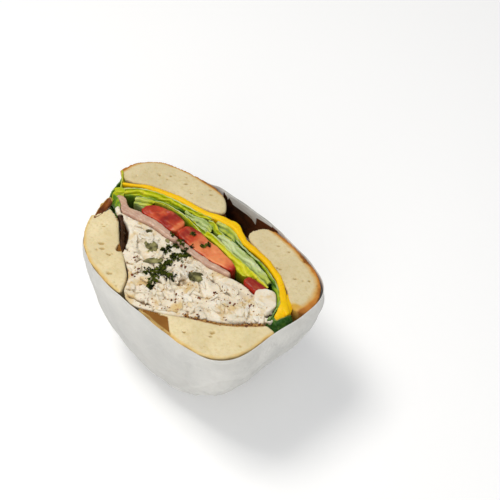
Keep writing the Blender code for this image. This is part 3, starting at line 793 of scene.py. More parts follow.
def tomato_material(colours):
    """Wet tomato flesh with paler veins and darker gel."""
    s = Shader("tomato", 0.3)
    tone = s.ragged("tone", 200, 3, 0.7)
    middle = tinted(colours.tomato, 1.75, 3.2, 1.9)
    flesh = s.mix(s.ramp(tone, 0.0, 0.35), colours.tomato, middle)
    flesh = s.mix(s.ramp(tone, 0.35, 0.85), flesh, colours.tomato_pale)
    gel = s.cells(210, s.stretched((0.8, 1.2, 0.8)))
    gel = s.times(s.ramp(gel, 0.1, 0.32, reverse=True), 0.5)
    flesh = s.mix(gel, flesh, scaled(colours.tomato, 0.6))
    fibre = s.ramp(s.noise(420, 3, s.stretched((0.5, 1.4, 1.0))), 0.55, 0.75)
    flesh = s.mix(s.times(fibre, 0.22), flesh, tinted(colours.tomato_pale, 1.05, 1.25, 1.3))
    skin = s.ramp(s.attribute("edge"), 0.1, 0.55, reverse=True)
    s.colour(s.mix(skin, flesh, tinted(colours.tomato, 1.5, 1.4, 1.0)))
    s.bump(s.noise(330, 3), 0.0004, 0.5)
    s.soft(0.2, (1.0, 0.2, 0.1), 0.0015)
    return s.material


def onion_material(colours):
    """Pale onion, see-through at its edges, with fine mauve skins between its layers."""
    s = Shader("onion", 0.24)
    bands = s.nodes.new("ShaderNodeTexWave")
    bands.bands_direction = "Y"
    bands.inputs["Scale"].default_value = 240
    bands.inputs["Distortion"].default_value = 7.0
    bands.inputs["Detail Scale"].default_value = 0.5
    s.links.new(s.place, bands.inputs["Vector"])
    line = s.ramp(bands.outputs["Fac"], 0.7, 0.98)
    flesh = s.mix(s.attribute("tone"), colours.onion_tan, colours.onion)
    flesh = s.mix(s.ramp(s.noise(210, 3), 0.35, 0.7), tinted(colours.onion, 0.82, 0.74, 0.72), flesh)
    flesh = s.mix(s.times(line, 0.25), flesh, colours.onion_line)
    edge = s.times(s.ramp(s.attribute("edge"), 0.0, 0.8, reverse=True), 0.3)
    s.colour(s.mix(edge, flesh, colours.onion_line))
    s.bump(bands.outputs["Fac"], 0.0002, 0.3)
    s.bump(s.noise(420, 2), 0.0002, 0.4)
    s.soft(0.4, (1.0, 0.7, 0.6), 0.0018)
    return s.material


def chicken_material(name, colours, warm):
    """Dressed chicken: creamy, with fibres and tan patches, warm painted shade between its pieces,
    and near-black painted shade in the crack.
    """
    s = Shader(name, 0.46)
    c = tuple(colours.chicken)
    cream = s.mix(s.ramp(s.noise(140, 3), 0.3, 0.7), tinted(c, 0.93, 0.90, 0.84), tinted(c, 1.12, 1.13, 1.18))
    tan = s.mix(s.ramp(s.noise(150, 4), 0.54, 0.68), cream, tinted(c, 0.86, 0.70, 0.42))
    # Painted shade: warm dark brown in the hollows between the chunks
    gaps = s.ragged("hollow", 380, 3, 0.9)
    tan = s.mix(s.times(s.ramp(gaps, 0.42, 1.0), 0.95), tan, (0.19, 0.095, 0.022))
    spice = s.ramp(s.noise(470, 2), 0.67, 0.73)
    spiced = s.mix(s.times(spice, warm), tan, (0.36, 0.13, 0.035))
    # Painted shade: near-black in the crack and the pit
    s.colour(s.mix(s.ramp(s.attribute("stain"), 0.25, 0.8), spiced, (0.05, 0.018, 0.005)))
    s.bump(s.noise(420, 4, s.stretched((0.4, 1.0, 1.0), (0, 0, 0.5))), 0.0005, 0.4)
    s.soft(0.25, (1.0, 0.75, 0.5), 0.0018)
    return s.material


def herb_material(colours):
    s = Shader("herb", 0.55, 0.12)
    c = tuple(colours.herb)
    s.colour(s.mix(s.ramp(s.noise(520, 2), 0.44, 0.72), scaled(c, 0.25), tinted(c, 4.2, 3.4, 2.0)))
    s.bump(s.noise(1500, 2), 0.0002, 0.5)
    s.soft(0.15, (0.5, 1.0, 0.2), 0.001)
    return s.material


def speck_material(name, dark, light, roughness, scale):
    s = Shader(name, roughness)
    s.colour(s.mix(s.ramp(s.noise(scale, 2), 0.35, 0.65), dark, light))
    s.bump(s.noise(1500, 2), 0.0002, 0.6)
    return s.material


def paper_material(colours):
    """Thin white waxed paper: cloudy, with soft creases and a faint sheen, and painted shade lower down."""
    s = Shader("paper", 0.46)
    c = tuple(colours.paper)
    crease = s.cells(42, s.stretched((1.0, 1.0, 1.4)), "DISTANCE_TO_EDGE")
    cloud = s.mix(s.ramp(s.noise(38, 4), 0.3, 0.7), tinted(c, 0.86, 0.87, 0.88), scaled(c, 1.1))
    creased = s.mix(s.times(s.ramp(crease, 0.0, 0.03, reverse=True), 0.12), cloud, scaled(c, 1.25))
    # Painted shade: the paper darkens towards the bottom
    height = s.node("ShaderNodeSeparateXYZ", Vector=s.place).outputs["Z"]
    low = s.times(s.ramp(height, 0.008, 0.052, reverse=True), 0.7)
    s.colour(s.mix(low, creased, tinted(c, 0.64, 0.65, 0.66)))
    s.bump(s.ramp(crease, 0.0, 0.2), 0.0008, 0.3)
    s.bump(s.noise(50, 5), 0.0035, 0.7)
    s.bump(s.noise(900, 2), 0.0001, 0.3)
    s.soft(0.2, (1.0, 1.0, 1.0), 0.002)
    return s.material


# Breads

BREAD_GROWTH = 0.25  # how far the breads grow to meet their neighbours, in mm
CUT_DEPTH = 1.5  # how deep below the cut a bread's vertex still counts as part of its cut face
CORNER_STILL = -25  # the bottom bread moves up from this height on
CORNER_MOVED = -12
BUBBLE = (46.9, 9.3)  # middle of the browned bubble, to the left and to the front
BUBBLE_LENGTH = 6.0
BUBBLE_WIDTH = 2.2
BUBBLE_DEPTH = 2.6
BROWNED_THICKNESS = 0.5
HOLE_HALF_WIDTH = 17.0
HOLE_HEIGHT = 18.0
HOLE_WALL = 0.2


def pore_at(x, y, d):
    """1 in the middle of a pore of the crumb, 0 between pores."""
    near, _, chance = cell_at(x * 0.75 + y * 0.3, y, d, 2.6)
    fine, _, _ = cell_at(x + 40, y * 1.3, d, 1.25)
    gate = smooth_step(0.1, 0.4, noise_at(x, y, d, 7.0))
    size = 0.24 + 0.10 * chance
    value = max(smooth_step(size, size * 0.35, near) * gate, 0.35 * smooth_step(0.26, 0.1, fine))
    for px, py, wide in PORES:
        dx, dy = x - px, y - py
        along, across = dx * 0.8 + dy * 0.6, dy * 0.8 - dx * 0.6
        value = max(value, smooth_step(1.0, 0.45, math.hypot(along / (wide * 1.4), across / (wide * 0.7))))
    return value


def wedge_at(x, y):
    """1 where the bottom bread's crust shows at its hole, in the cut's lower edge, 0 elsewhere."""
    a, b, c, e = CRUST_WEDGE
    below = a[1] + (b[1] - a[1]) * (x - a[0]) / (b[0] - a[0]) - y
    left = c[0] + (e[0] - c[0]) * (y - c[1]) / (e[1] - c[1]) - x
    return smooth_step(-0.3, 0.5, below) * smooth_step(-0.3, 0.6, left) * smooth_step(5, 7, x)


def is_on_cut(normal, d):
    return normal.z > 0.6 and d < CUT_DEPTH


def hole_burnt(x, d, normal):
    """How dark the crust inside the top bread's hole is: crust with painted shade, darker deeper down."""
    r = math.hypot(x, max(d, 0.0))
    wall = smooth_step(15.0, 12.5, r) * smooth_step(0.7, 0.2, normal.z if d < CUT_DEPTH else 0.0)
    return wall * smooth_step(0.4, 2.2, d)


def crack_stain(x, y, d):
    """Painted shade in the crack beside the left lobe: a thin line at the cut, wider below it."""
    wide = 1.6 * smooth_step(0.8, 4.0, d)
    return smooth_step(2.2 + wide, 0.9 + wide, distance_to_line(CRACK, x, y)) * smooth_step(34, 22, d)


def stain_at(x, y, d):
    """Golden crust at the hole, painted shade in the crack, and sauce in the crumb along the right lobe."""
    crack = crack_stain(x, y, d)
    sauce = 0.95 * smooth_step(1.9, 0.4, distance_to_line(SAUCE_LINE, x, y)) * smooth_step(3, 1, d)
    return max(crack, sauce, 1.3 * wedge_at(x, y) * smooth_step(8, 4, d))


def golden_at(x, y, d):
    """1 on the golden end of the top bread's right lobe, 0 elsewhere."""
    return smooth_step(1.3, 0.7, math.hypot((x - 54.0) / 6.0, (y - 7.0) / 5.0)) * smooth_step(16, 10, d)


def raise_corner(piece, still, moved):
    """Moves the boundary of bread and salad up at the right end, fading out between two heights."""
    for vert in piece.data.vertices:
        x, y, d = to_drawing(vert.co)
        share = (y - still) / (moved - still)
        vert.co.y += line_at(CORNER_LIFT, x) * smooth_step(0, 1, share) * MM
    piece.data.update()


def browned_at(x, y):
    """1 inside the browned bubble of crust at the bottom bread's left end, 0 elsewhere."""
    dx, dy = x + BUBBLE[0], y + BUBBLE[1]
    along, across = dx * 0.23 + dy * 0.97, dx * 0.97 - dy * 0.23
    return smooth_step(1.1, 0.95, math.hypot(along / BUBBLE_LENGTH, across / BUBBLE_WIDTH))


def make_bread_piece(node, sizes):
    """One bread, with pores in its cut face, grown a little to meet its neighbours."""
    is_top = node == "top_bread"
    piece = copy_node(node, f"{node}_baked")
    remesh(piece, sizes.bread_grain)
    soften(piece, 0.5, 3)
    if not is_top:
        raise_corner(piece, CORNER_STILL, CORNER_MOVED)
    skins, pores, stains, burns = [], [], [], []
    for vert in piece.data.vertices:
        x, y, d = to_drawing(vert.co)
        skins.append(under_skin(x, y, d) * (1 - 0.45 * smooth_step(12, 44, x) * smooth_step(0, 10, y)))
        porous = is_on_cut(vert.normal, d)
        pores.append(pore_at(x, y, d) * smooth_step(0.4, 1.6, skins[-1]) if porous else 0.0)
        stains.append(golden_at(x, y, d) if is_top else stain_at(x, y, d))
        burns.append(hole_burnt(x, d, vert.normal) if is_top else 0.0)
    pore_depth = sizes.pore_depth / MM
    depths = zip(pores, burns)

    def relief(x, y, d, normal):
        pore, burn = next(depths)
        bubble = BUBBLE_DEPTH * browned_at(x, y) if y < 0 else 0.0
        if is_on_cut(normal, d):
            crack = smooth_step(1.7, 0.6, distance_to_line(CRACK, x, y)) if y < 0 else 0.0
            hollow = 1.1 * wedge_at(x, y) + bubble if y < 0 else 0.0
            return 0.22 * noise_at(x, y, d, 7.0) - pore_depth * pore - burn - hollow - 2.0 * crack
        return BREAD_GROWTH + 0.25 * noise_at(x, y, d, 9.0) - bubble * smooth_step(4, 2, d)

    displace(piece, relief)
    for name, values in (("skin", skins), ("pore", pores), ("stain", stains), ("burnt", burns)):
        store(piece, name, values)
    shade_smooth(piece)
    return piece


def make_breads(sizes, colours):
    for node, material in zip(("top_bread", "bottom_bread"), crumb_materials(colours)):
        finish_piece(make_bread_piece(node, sizes), material, (node,))


def browned_material():
    """Crust baked red-brown, with a golden rim."""
    s = Shader("browned_crust", 0.5)
    tint = s.mix(s.ramp(s.noise(260, 3), 0.35, 0.68), (0.075, 0.016, 0.004), (0.36, 0.105, 0.012))
    rim = s.ragged("rim", 400, 2, 0.5)
    s.colour(s.mix(s.ramp(rim, 0.55, 0.95), tint, (0.60, 0.36, 0.09)))
    s.bump(s.noise(500, 3), 0.0003, 0.5)
    return s.material


def make_browned_end():
    """The red-brown bubble of crust at the left end of the bottom bread."""
    piece = make_grid("browned_end", 60, 30)
    rims = []
    for vert, t, w in sheet_places(piece):
        point = flat_path(BROWNED_OUTER, t).lerp(flat_path(BROWNED_INNER, t), w)
        dish = math.sin(math.pi * w) * math.sin(math.pi * t)
        vert.co = to_frame(point.x, point.y, 0.1 + 1.1 * dish + 0.1 * noise_at(point.x, point.y, 0, 2.0))
        rims.append(smooth_step(0.16, 0.0, w) + smooth_step(0.84, 1.0, t))
    store(piece, "rim", rims)
    thicken(piece, BROWNED_THICKNESS * MM, PAPER_ANGLE)
    finish_piece(piece, browned_material())


def make_hole_crust():
    """The hole's far side: a thin wall just inside the paper, its crust painted near-black as shade."""
    piece = make_grid("hole_crust", 60, 30)
    for vert, _, w in sheet_places(piece):
        x = 0.5 + HOLE_HALF_WIDTH * vert.co.x
        d = 0.6 + HOLE_HEIGHT * w
        vert.co = to_frame(x, outline_height(*polar(x, d)) - HOLE_WALL, d)
    thicken(piece, HOLE_WALL * MM, SMOOTH_ANGLE)
    finish_piece(piece, hole_material())


# Cheese

def make_cheese(sizes, colours):
    material = cheese_material(colours)
    piece = copy_node("cheese_slice", "cheese_sheet")
    remesh(piece, sizes.slice_grain)
    soften(piece, 0.5, 4)

    def relief(x, y, d, normal):
        top = smooth_step(1.2, 0.0, d)
        return SLICE_GROWTH + 0.25 * noise_at(x, y, d, 8.0) + top * (0.4 * noise_at(x, 0, 0, 5.0) + 0.1)

    displace(piece, relief)
    shade_smooth(piece)
    finish_piece(piece, material, ("cheese_slice",))
    make_cheese_fold(material)


FOLD_THICKNESS = 2.4
FOLD_BEVEL = 0.9
# Middle line of the cheese's drooping end, as (x, y, depth) points
CHEESE_FOLD = (
    (45.4, 13.2, 2.0), (47.6, 10.6, 0.9), (49.4, 7.6, 0.4), (50.7, 4.4, 0.9), (51.2, 1.8, 1.8),
    (50.8, -0.2, 3.4),
)


def make_cheese_fold(material):
    """The slice's right end, which has softened and hangs over the filling."""
    piece = make_grid("cheese_fold", 50, 24)
    for vert, t, _ in sheet_places(piece):
        across = vert.co.y
        centre = smooth_path(CHEESE_FOLD, t)
        half = 2.5 * math.sin(math.pi * (0.05 + 0.85 * t)) ** 0.8
        x = centre.x + across * half * 0.72
        y = centre.y + across * half * 0.45
        d = centre.z + 0.5 * abs(across) ** 3 + (1.0 + across) * 0.5 + 0.25 * noise_at(x, y, 0, 3.0)
        vert.co = to_frame(x, y, d)
    apply_modifier(piece, "SOLIDIFY", thickness=FOLD_THICKNESS * MM, offset=0.0)
    apply_modifier(piece, "BEVEL", width=FOLD_BEVEL * MM, segments=3, limit_method="ANGLE")
    recalculate_normals(piece)
    shade_smooth(piece)
    finish_piece(piece, material)


# Lettuce

APPARENT_SHIFT = 0.648  # how far right and to the front a point shows, for each millimetre of its depth
FACE_SHARE = 0.72  # share of a band's rows that show in the cut; the rest run down as its root
ROOT_SHARE = 0.28
ROOT_DEPTH = 9.0


def make_band(row, material):
    """One band of the lettuce: a folded leaf with its face in the cut, and its root below the lower edge."""
    name, upper, lower, depths, thick, tone, pale, node = row
    sheet = make_grid(name, 200, 48)
    offset = len(name) * 7.3 + upper[0][0]
    tones, pales = [], []
    for vert, t, w in sheet_places(sheet):
        face, root = min(w / FACE_SHARE, 1.0), max(w - FACE_SHARE, 0.0) / ROOT_SHARE
        high, low = flat_path(upper, t), flat_path(lower, t)
        show = high.lerp(low, face)
        wide = (high - low).length
        pleat = math.sin(face * 2.1 * max(wide, 1.0) + 5.0 * noise_at(show.x, offset, 0, 8.0))
        crinkle = noise_at(show.x * 0.7, face * wide, offset, 2.3)
        inside = smooth_step(0.0, 0.2, face) * smooth_step(1.0, 0.8, face)
        d = depths[0] + (depths[1] - depths[0]) * face**0.8
        d += (0.45 * pleat + 0.35 * crinkle) * inside + 0.25 * noise_at(show.x, offset, 0, 3.0)
        d += 0.18 * noise_at(show.x, offset, 0, 1.1) * (1 - face)
        x, y = show.x - APPARENT_SHIFT * d, show.y + APPARENT_SHIFT * d
        y += 0.3 * noise_at(show.x, offset + 4, 0, 2.2) * (1 - inside)
        deeper = d + ROOT_DEPTH * root
        if root > 0:
            r, turn = polar(x, deeper)
            y -= 0.5 * root
            highest = max(cheese_low(r, turn), y - 6 * root) - thick / 2
            y = min(max(y, tomato_top(r, turn) + thick / 2), highest)
        vert.co = to_frame(x, y, deeper)
        # Painted shade: darker where a pleat sinks, towards the lower edge, and down the root
        shade = tone - 0.25 * pleat * inside + 0.2 * crinkle + 0.3 * noise_at(show.x, show.y, offset, 6.0)
        tones.append(shade - 0.45 * smooth_step(0.75, 1.0, face) - 0.4 * root)
        cut_edge = 0.7 * (1 - pale) * smooth_step(0.09, 0.0, face)
        pales.append(pale * (1 - 0.4 * smooth_step(0.6, 1.0, t)) + cut_edge)
    finish_leaf(sheet, tones, pales, thick, material, node)


def finish_leaf(sheet, tones, pales, thick, material, node):
    """Gives a bent leaf its colours and its thickness, and lets it stand for its solid, if it has one."""
    store(sheet, "tone", tones)
    store(sheet, "pale", pales)
    sheet.data.update()
    thicken(sheet, thick * MM, LEAF_ANGLE)
    finish_piece(sheet, material, (node,) if node else ())


# Leaves that lie outside the lettuce: name, columns of (x, y, depth) at the top edge, the same at the
# lower edge, thickness, tone, slot and node
END_LEAVES = (
    ("end_leaf_right_face",
     ((48.8, -2.6, 1.2), (48.6, 0.4, 0.5), (49.6, 0.4, 1.2), (50.6, -0.2, 1.5), (51.8, 0.8, 0.8),
      (53.2, 3.6, 0.3), (54.4, 6.0, 0.5)),
     ((50.0, -6.4, 7.0), (51.6, -6.0, 7.5), (53.2, -5.2, 7.5), (54.6, -3.6, 7.0), (55.6, -1.0, 7.0),
      (56.0, 2.6, 7.0), (56.2, 5.8, 7.5)), 0.6, 0.02, "outer_leaf", "end_leaf_right"),
    ("end_leaf_left_face",
     ((-50.0, -3.4, 1.2), (-51.2, -1.0, 0.4), (-52.4, 2.4, 0.0), (-53.5, 5.4, -0.2), (-54.8, 8.2, -0.3),
      (-55.6, 9.8, -0.2)),
     ((-47.5, -3.4, 12.0), (-48.4, -1.2, 12.0), (-49.6, 2.4, 11.0), (-50.6, 5.4, 10.0),
      (-51.4, 8.0, 9.0), (-51.8, 9.6, 8.0)), 0.6, 0.08, "outer_leaf", "end_leaf_left"),
    ("leaf_left_tip",
     ((-50.8, 4.6, 0.2), (-53.0, 7.0, -0.3), (-55.2, 9.2, -0.6), (-57.2, 11.0, -0.8), (-58.8, 12.6, -0.7)),
     ((-48.8, 3.6, 5.0), (-50.2, 5.8, 4.5), (-52.4, 8.2, 4.0), (-55.4, 10.2, 2.5), (-57.6, 12.0, 1.0)),
     0.5, 1.15, "lettuce", None),
    ("leaf_left_fold", ((-52.4, 0.2, 0.5), (-52.6, 2.8, 0.0), (-51.0, 5.0, -0.2), (-48.6, 6.0, 0.2)),
     ((-49.6, -2.2, 2.6), (-49.2, 0.4, 2.2), (-48.6, 2.0, 2.2), (-47.0, 3.2, 2.4)), 0.5, 0.9, "lettuce",
     None),
    ("leaf_left_low",
     ((-51.2, 0.4, 0.8), (-48.0, 0.6, 0.4), (-45.4, -0.8, 0.6), (-43.0, -2.6, 1.0), (-41.0, -4.4, 1.6)),
     ((-50.4, -2.2, 5.0), (-47.4, -2.8, 4.0), (-44.6, -4.2, 4.0), (-42.2, -5.6, 4.0), (-40.4, -6.6, 4.0)),
     0.6, 0.45, "lettuce", None),
    ("leaf_right_low",
     ((44.6, 9.4, 0.6), (46.8, 6.4, 0.5), (48.0, 3.2, 0.6), (48.6, 0.2, 0.8), (48.8, -2.6, 1.4)),
     ((45.4, 7.2, 5.0), (47.2, 4.2, 5.0), (48.4, 1.0, 5.0), (49.4, -2.0, 5.0), (49.8, -4.6, 5.0)), 0.6,
     0.25, "lettuce", None),
)


def make_end_leaf(row, material):
    """A leaf end that curls out between the breads."""
    name, upper, lower, thick, tone, slot, node = row
    sheet = make_grid(name, 60, 40)
    offset = len(name) * 3.1
    tones, pales = [], []
    for vert, t, w in sheet_places(sheet):
        point = smooth_path(upper, t).lerp(smooth_path(lower, t), w)
        wrinkle = noise_at(point.y * 1.3, w * 5, offset, 2.6)
        point.x += 0.5 * wrinkle
        point.y += 0.3 * noise_at(point.x, w * 9, offset, 2.0)
        point.z += 0.5 * (1 - w) ** 4 * noise_at(point.y, offset, 0, 1.8)
        vert.co = to_frame(*point)
        tones.append(tone + 0.35 * noise_at(point.x, point.y, point.z, 3.0))
        pales.append(0.35 * (1 - w) ** 26)
    finish_leaf(sheet, tones, pales, thick, material, node)


# Tomato and onion

SLICE_GROWTH = 0.15  # how far cheese, tomato and onion grow to meet their neighbours, in mm
SEAM_SIZE = (3.8, 2.6, 2.4)
SEAM_DEPTH = 2.6


def make_slice_piece(node, material, sizes, tones, rough):
    """A tomato or onion slice with its moist, slightly uneven cut."""
    piece = copy_node(node, f"{node}_cut")
    low, high = (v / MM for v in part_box(node))
    remesh(piece, sizes.slice_grain)
    soften(piece, 0.5, 2)

    def move(x, y, d, normal):
        sag = 0.5 * smooth_step(1.5, 0.0, d) * max(normal.z, 0.0)
        uneven = rough * (noise_at(x, y, d, 3.4) + 0.3 * noise_at(x, y, d, 1.3))
        return SLICE_GROWTH + uneven - sag * abs(noise_at(x, y, 0, 5.0))

    displace(piece, move)

    def edge(x, y, d, normal):
        return smooth_step(1.0, 0.3, abs(normal.y)) * min(abs(x - low.x), abs(high.x - x), 1.0)

    write_attribute(piece, "edge", edge)
    write_attribute(piece, "tone", lambda x, y, d, normal: line_at(tones, x) + 0.18 * noise_at(x, y, d, 4.0))
    shade_smooth(piece)
    finish_piece(piece, material, (node,))


def make_tomato_seam(material):
    """Soft flesh squeezed out between the two large tomato slices."""
    deselect_all()
    bpy.ops.mesh.primitive_ico_sphere_add(subdivisions=4, radius=1)
    piece = name_piece(bpy.context.object, "tomato_seam")
    for vert in piece.data.vertices:
        p = vert.co * (1 + 0.15 * noise.noise(vert.co * 1.4))
        x = TOMATO_SEAM[0] + SEAM_SIZE[0] * p.x
        y = TOMATO_SEAM[1] + SEAM_SIZE[1] * p.y
        vert.co = to_frame(x, y, SEAM_DEPTH - SEAM_SIZE[2] * min(p.z, 0.85))
    write_attribute(piece, "edge", lambda x, y, d, normal: 1.0)
    write_attribute(piece, "tone", lambda x, y, d, normal: 0.25 + 0.08 * (x - TOMATO_SEAM[0]))
    shade_smooth(piece)
    finish_piece(piece, material)


def make_slices(sizes, colours):
    tomato, onion = tomato_material(colours), onion_material(colours)
    for number in (1, 2, 3):
        make_slice_piece(f"tomato_slice_{number}", tomato, sizes, TOMATO_TONE, 0.18)
    make_tomato_seam(tomato)
    for number in (1, 2):
        make_slice_piece(f"onion_slice_{number}", onion, sizes, ONION_TONE, 0.16)


# Chicken salad

SALAD_LEFT = -42
SALAD_RIGHT = 48
SALAD_GROWTH = 0.42  # how far the heap grows to meet its neighbours, in mm
CRACK_DEPTH = 3.4
CRACK_MARGIN = 3.0  # bits lie at least this far from the crack, in mm
CHUNK_SIZES = (1.6, 2.0, 2.4, 3.0)
WHITE_CHUNK_SIZE = (4.8, 5.2, 4.0)
HERB_DENSITY = 2.4  # bits for each one that a clump counts
DROP_REACH = 0.02  # how far a dropped bit falls at most, in m
SPECKS_AT_SPOT = 3
SAUCE_SPECKS = 150


def torn_relief(x, y, d):
    """Relief of the cut salad: flat chunks with gaps between them, and how deep in a gap the point is."""
    wx = x + 1.6 * noise_at(x, y, d, 4.5)
    wy = y + 1.6 * noise_at(x + 31, y, d, 4.5)
    along, across = wx * 0.9 + wy * 0.3, wy * 0.95 - wx * 0.25
    near, far, chance = cell_at(along * 0.55, across, d * 0.6, 5.6)
    gap = smooth_step(0.12, 0.02, far - near)
    small, next_small, small_chance = cell_at(along * 0.5 + 17, across, d, 2.3)
    nick = smooth_step(0.12, 0.02, next_small - small) * smooth_step(0.0, 0.4, noise_at(x + 9, y, d, 5.0))
    wide_gap = smooth_step(-0.1, 0.4, noise_at(x, y, d, 7.0))
    return gap * (0.2 + 0.8 * wide_gap), nick, 0.4 * chance + 0.12 * small_chance


def make_salad_heap(material, sizes):
    """The body of the chicken salad, cut flat across its chunks."""
    piece = copy_node("chicken_salad", "salad_heap")
    remesh(piece, sizes.salad_grain)
    soften(piece, 0.5, 4)
    raise_corner(piece, 1, -9)
    depth = sizes.crag_depth / MM
    hollows, stains, moves = [], [], []
    for vert in piece.data.vertices:
        x, y, d = to_drawing(vert.co)
        open_face = smooth_step(4.5, 2.0, d) * max(vert.normal.z, 0.0)
        # Painted shade for the crack and the pit, which the material turns near-black
        crack = smooth_step(2.0, 0.9, distance_to_line(CRACK, x, y))
        crack = max(crack, smooth_step(1.3, 0.5, distance_to_line(PIT, x, y)))
        stains.append(max(crack * smooth_step(12, 8, d), crack_stain(x, y, d)))
        if open_face <= 0:
            hollows.append(0.0)
            moves.append(SALAD_GROWTH)
            continue
        gap, nick, level = torn_relief(x, y, d)
        # Painted shade in the gaps between the chunks and beside the crust wedge
        hollows.append(min(0.85 * gap + 0.3 * nick + 0.8 * wedge_at(x, y), 1.0))
        rise = level - depth * gap - 0.3 * nick - CRACK_DEPTH * crack + 0.1 * noise_at(x, y, d, 1.3)
        moves.append(SALAD_GROWTH + (rise - 0.25) * open_face)
    steps = iter(moves)
    displace(piece, lambda x, y, d, normal: next(steps))
    store(piece, "hollow", hollows)
    store(piece, "stain", stains)
    soften(piece, 0.3, 1)
    shade_smooth(piece)
    return finish_piece(piece, material, ("chicken_salad",))


def in_salad(x, y, margin):
    turn = 0.0 if x >= 0 else math.pi
    low = salad_bottom(abs(x), turn) + line_at(CORNER_LIFT, x) + margin
    high = salad_top(abs(x), turn) - margin
    return low < y < high and SALAD_LEFT + margin < x < SALAD_RIGHT - margin


def salad_spot(rng, margin):
    """A random place on the salad's cut face."""
    while True:
        x, y = rng.uniform(SALAD_LEFT + 1, SALAD_RIGHT), rng.uniform(-35, 4)
        if in_salad(x, y, margin) and distance_to_line(CRACK, x, y) > CRACK_MARGIN:
            return x, y


def make_lump_shapes(count, rng, stretch, name, rough):
    """Torn lumps, each roughened by its own noise, about one unit across."""
    shapes = []
    for number in range(count):
        deselect_all()
        bpy.ops.mesh.primitive_ico_sphere_add(subdivisions=4, radius=1)
        piece = name_piece(bpy.context.object, f"{name}_{number}")
        offset = Vector((number * 7.1, rng.uniform(0, 50), 0))
        for vert in piece.data.vertices:
            lump = noise.noise(vert.co * 0.9 + offset) * 0.5
            lump += noise.noise(vert.co * 2.2 + offset) * 0.25 * rough
            vert.co *= 1 + lump
            vert.co.x *= stretch
            vert.co.z = min(vert.co.z, 0.55 + 0.12 * noise.noise(vert.co * 1.7 + offset))
        shapes.append(piece)
    return shapes


def scatter(shapes, spots, name):
    """Copies the shapes to the spots, each a (place, turn matrix, size vector), as one piece."""
    copies = []
    for number, (where, turn, size) in enumerate(spots):
        shape = shapes[number % len(shapes)]
        copy = bpy.data.objects.new(f"{name}_{number}", shape.data.copy())
        bpy.context.scene.collection.objects.link(copy)
        copy.data.transform(Matrix.Translation(where) @ turn.to_4x4() @ Matrix.Diagonal((*size, 1.0)))
        copies.append(copy)
    for shape in shapes:
        bpy.data.objects.remove(shape)
    piece = join_pieces(copies, name)
    shade_smooth(piece, 70)
    return piece


def surface_tree(pieces):
    """A search tree over the visible cut face, to lay small bits on it."""
    verts, faces = [], []
    for piece in pieces:
        start = len(verts)
        verts += [vert.co.copy() for vert in piece.data.vertices]
        faces += [[start + i for i in face.vertices] for face in piece.data.polygons]
    return BVHTree.FromPolygons(verts, faces)


def drop_on(tree, x, y):
    """Where a bit dropped at (x, y) of the cut face comes to lie, or None."""
    return tree.ray_cast(to_frame(x, y, -8.0), Vector((0, 0, -1)), DROP_REACH)[0]


def random_turn(rng, tilt):
    return (Matrix.Rotation(rng.uniform(0, math.tau), 3, "Z")
            @ Matrix.Rotation(rng.uniform(-tilt, tilt), 3, "X")
            @ Matrix.Rotation(rng.uniform(-tilt, tilt), 3, "Y"))


def make_chunks(material, sizes, rng):
    shapes = make_lump_shapes(7, rng, 1.3, "chunk", 0.6)
    spots = []
    for _ in range(sizes.chunk_count):
        x, y = salad_spot(rng, 2.0)
        size = MM * rng.choice(CHUNK_SIZES) * rng.uniform(0.85, 1.15)
        where = to_frame(x, y, size / MM * 0.42 - rng.uniform(-0.35, 0.15))
        turn = Matrix.Rotation(rng.gauss(-0.2, 0.8), 3, "Z")
        turn = turn @ Matrix.Rotation(rng.uniform(-0.2, 0.2), 3, "X")
        spots.append((where, turn, (size, size * 0.72, size * 0.7)))
    white_size = tuple(size * MM for size in WHITE_CHUNK_SIZE)
    spots.append((to_frame(*WHITE_CHUNK, 2.0), Matrix.Rotation(-0.7, 3, "Z"), white_size))
    return finish_piece(scatter(shapes, spots, "chicken_chunks"), material)


def make_shreds(material, sizes, rng):
    shapes = make_lump_shapes(4, rng, 3.4, "shred", 0.8)
    spots = []
    for _ in range(sizes.shred_count):
        x, y = salad_spot(rng, 2.4)
        size = MM * rng.uniform(0.5, 0.85)
        where = to_frame(x, y, rng.uniform(-0.25, 0.3))
        turn = Matrix.Rotation(rng.gauss(-0.3, 0.6), 3, "Z")
        turn = turn @ Matrix.Rotation(rng.uniform(-0.12, 0.12), 3, "Y")
        spots.append((where, turn, (size, size, size * 0.7)))
    return finish_piece(scatter(shapes, spots, "chicken_shreds"), material)


def make_herb_shapes(rng):
    """Small curled, notched bits of leaf, one unit across."""
    shapes = []
    for number in range(6):
        piece = make_grid(f"herb_{number}", 9, 5)
        phase = rng.uniform(0, 6)
        for vert in piece.data.vertices:
            u, v = vert.co.x, vert.co.y
            notch = 0.55 + 0.45 * abs(math.sin(u * 4.5 + phase))
            lift = 0.4 * math.sin(u * 2.6 + phase) + 0.35 * v * v
            vert.co = Vector((u, v * 0.6 * (1 - 0.6 * u * u) * notch, lift))
        apply_modifier(piece, "SOLIDIFY", thickness=0.16, offset=0.0)
        shapes.append(piece)
    return shapes


def make_herbs(tree, material, rng):
    """Chopped herbs in clumps across the salad, with a few on the onion and the tomato."""
    spots = []
    for x, y, spread, count in HERB_SPOTS:
        for _ in range(int(count * HERB_DENSITY)):
            found = drop_on(tree, x + rng.gauss(0, spread * 0.8), y + rng.gauss(0, spread * 0.65))
            if found:
                size = MM * rng.uniform(0.45, 1.0)
                lift = Vector((0, 0, size * rng.uniform(0.0, 0.4)))
                spots.append((found + lift, random_turn(rng, 0.9), (size, size, size)))
    finish_piece(scatter(make_herb_shapes(rng), spots, "chopped_herbs"), material)


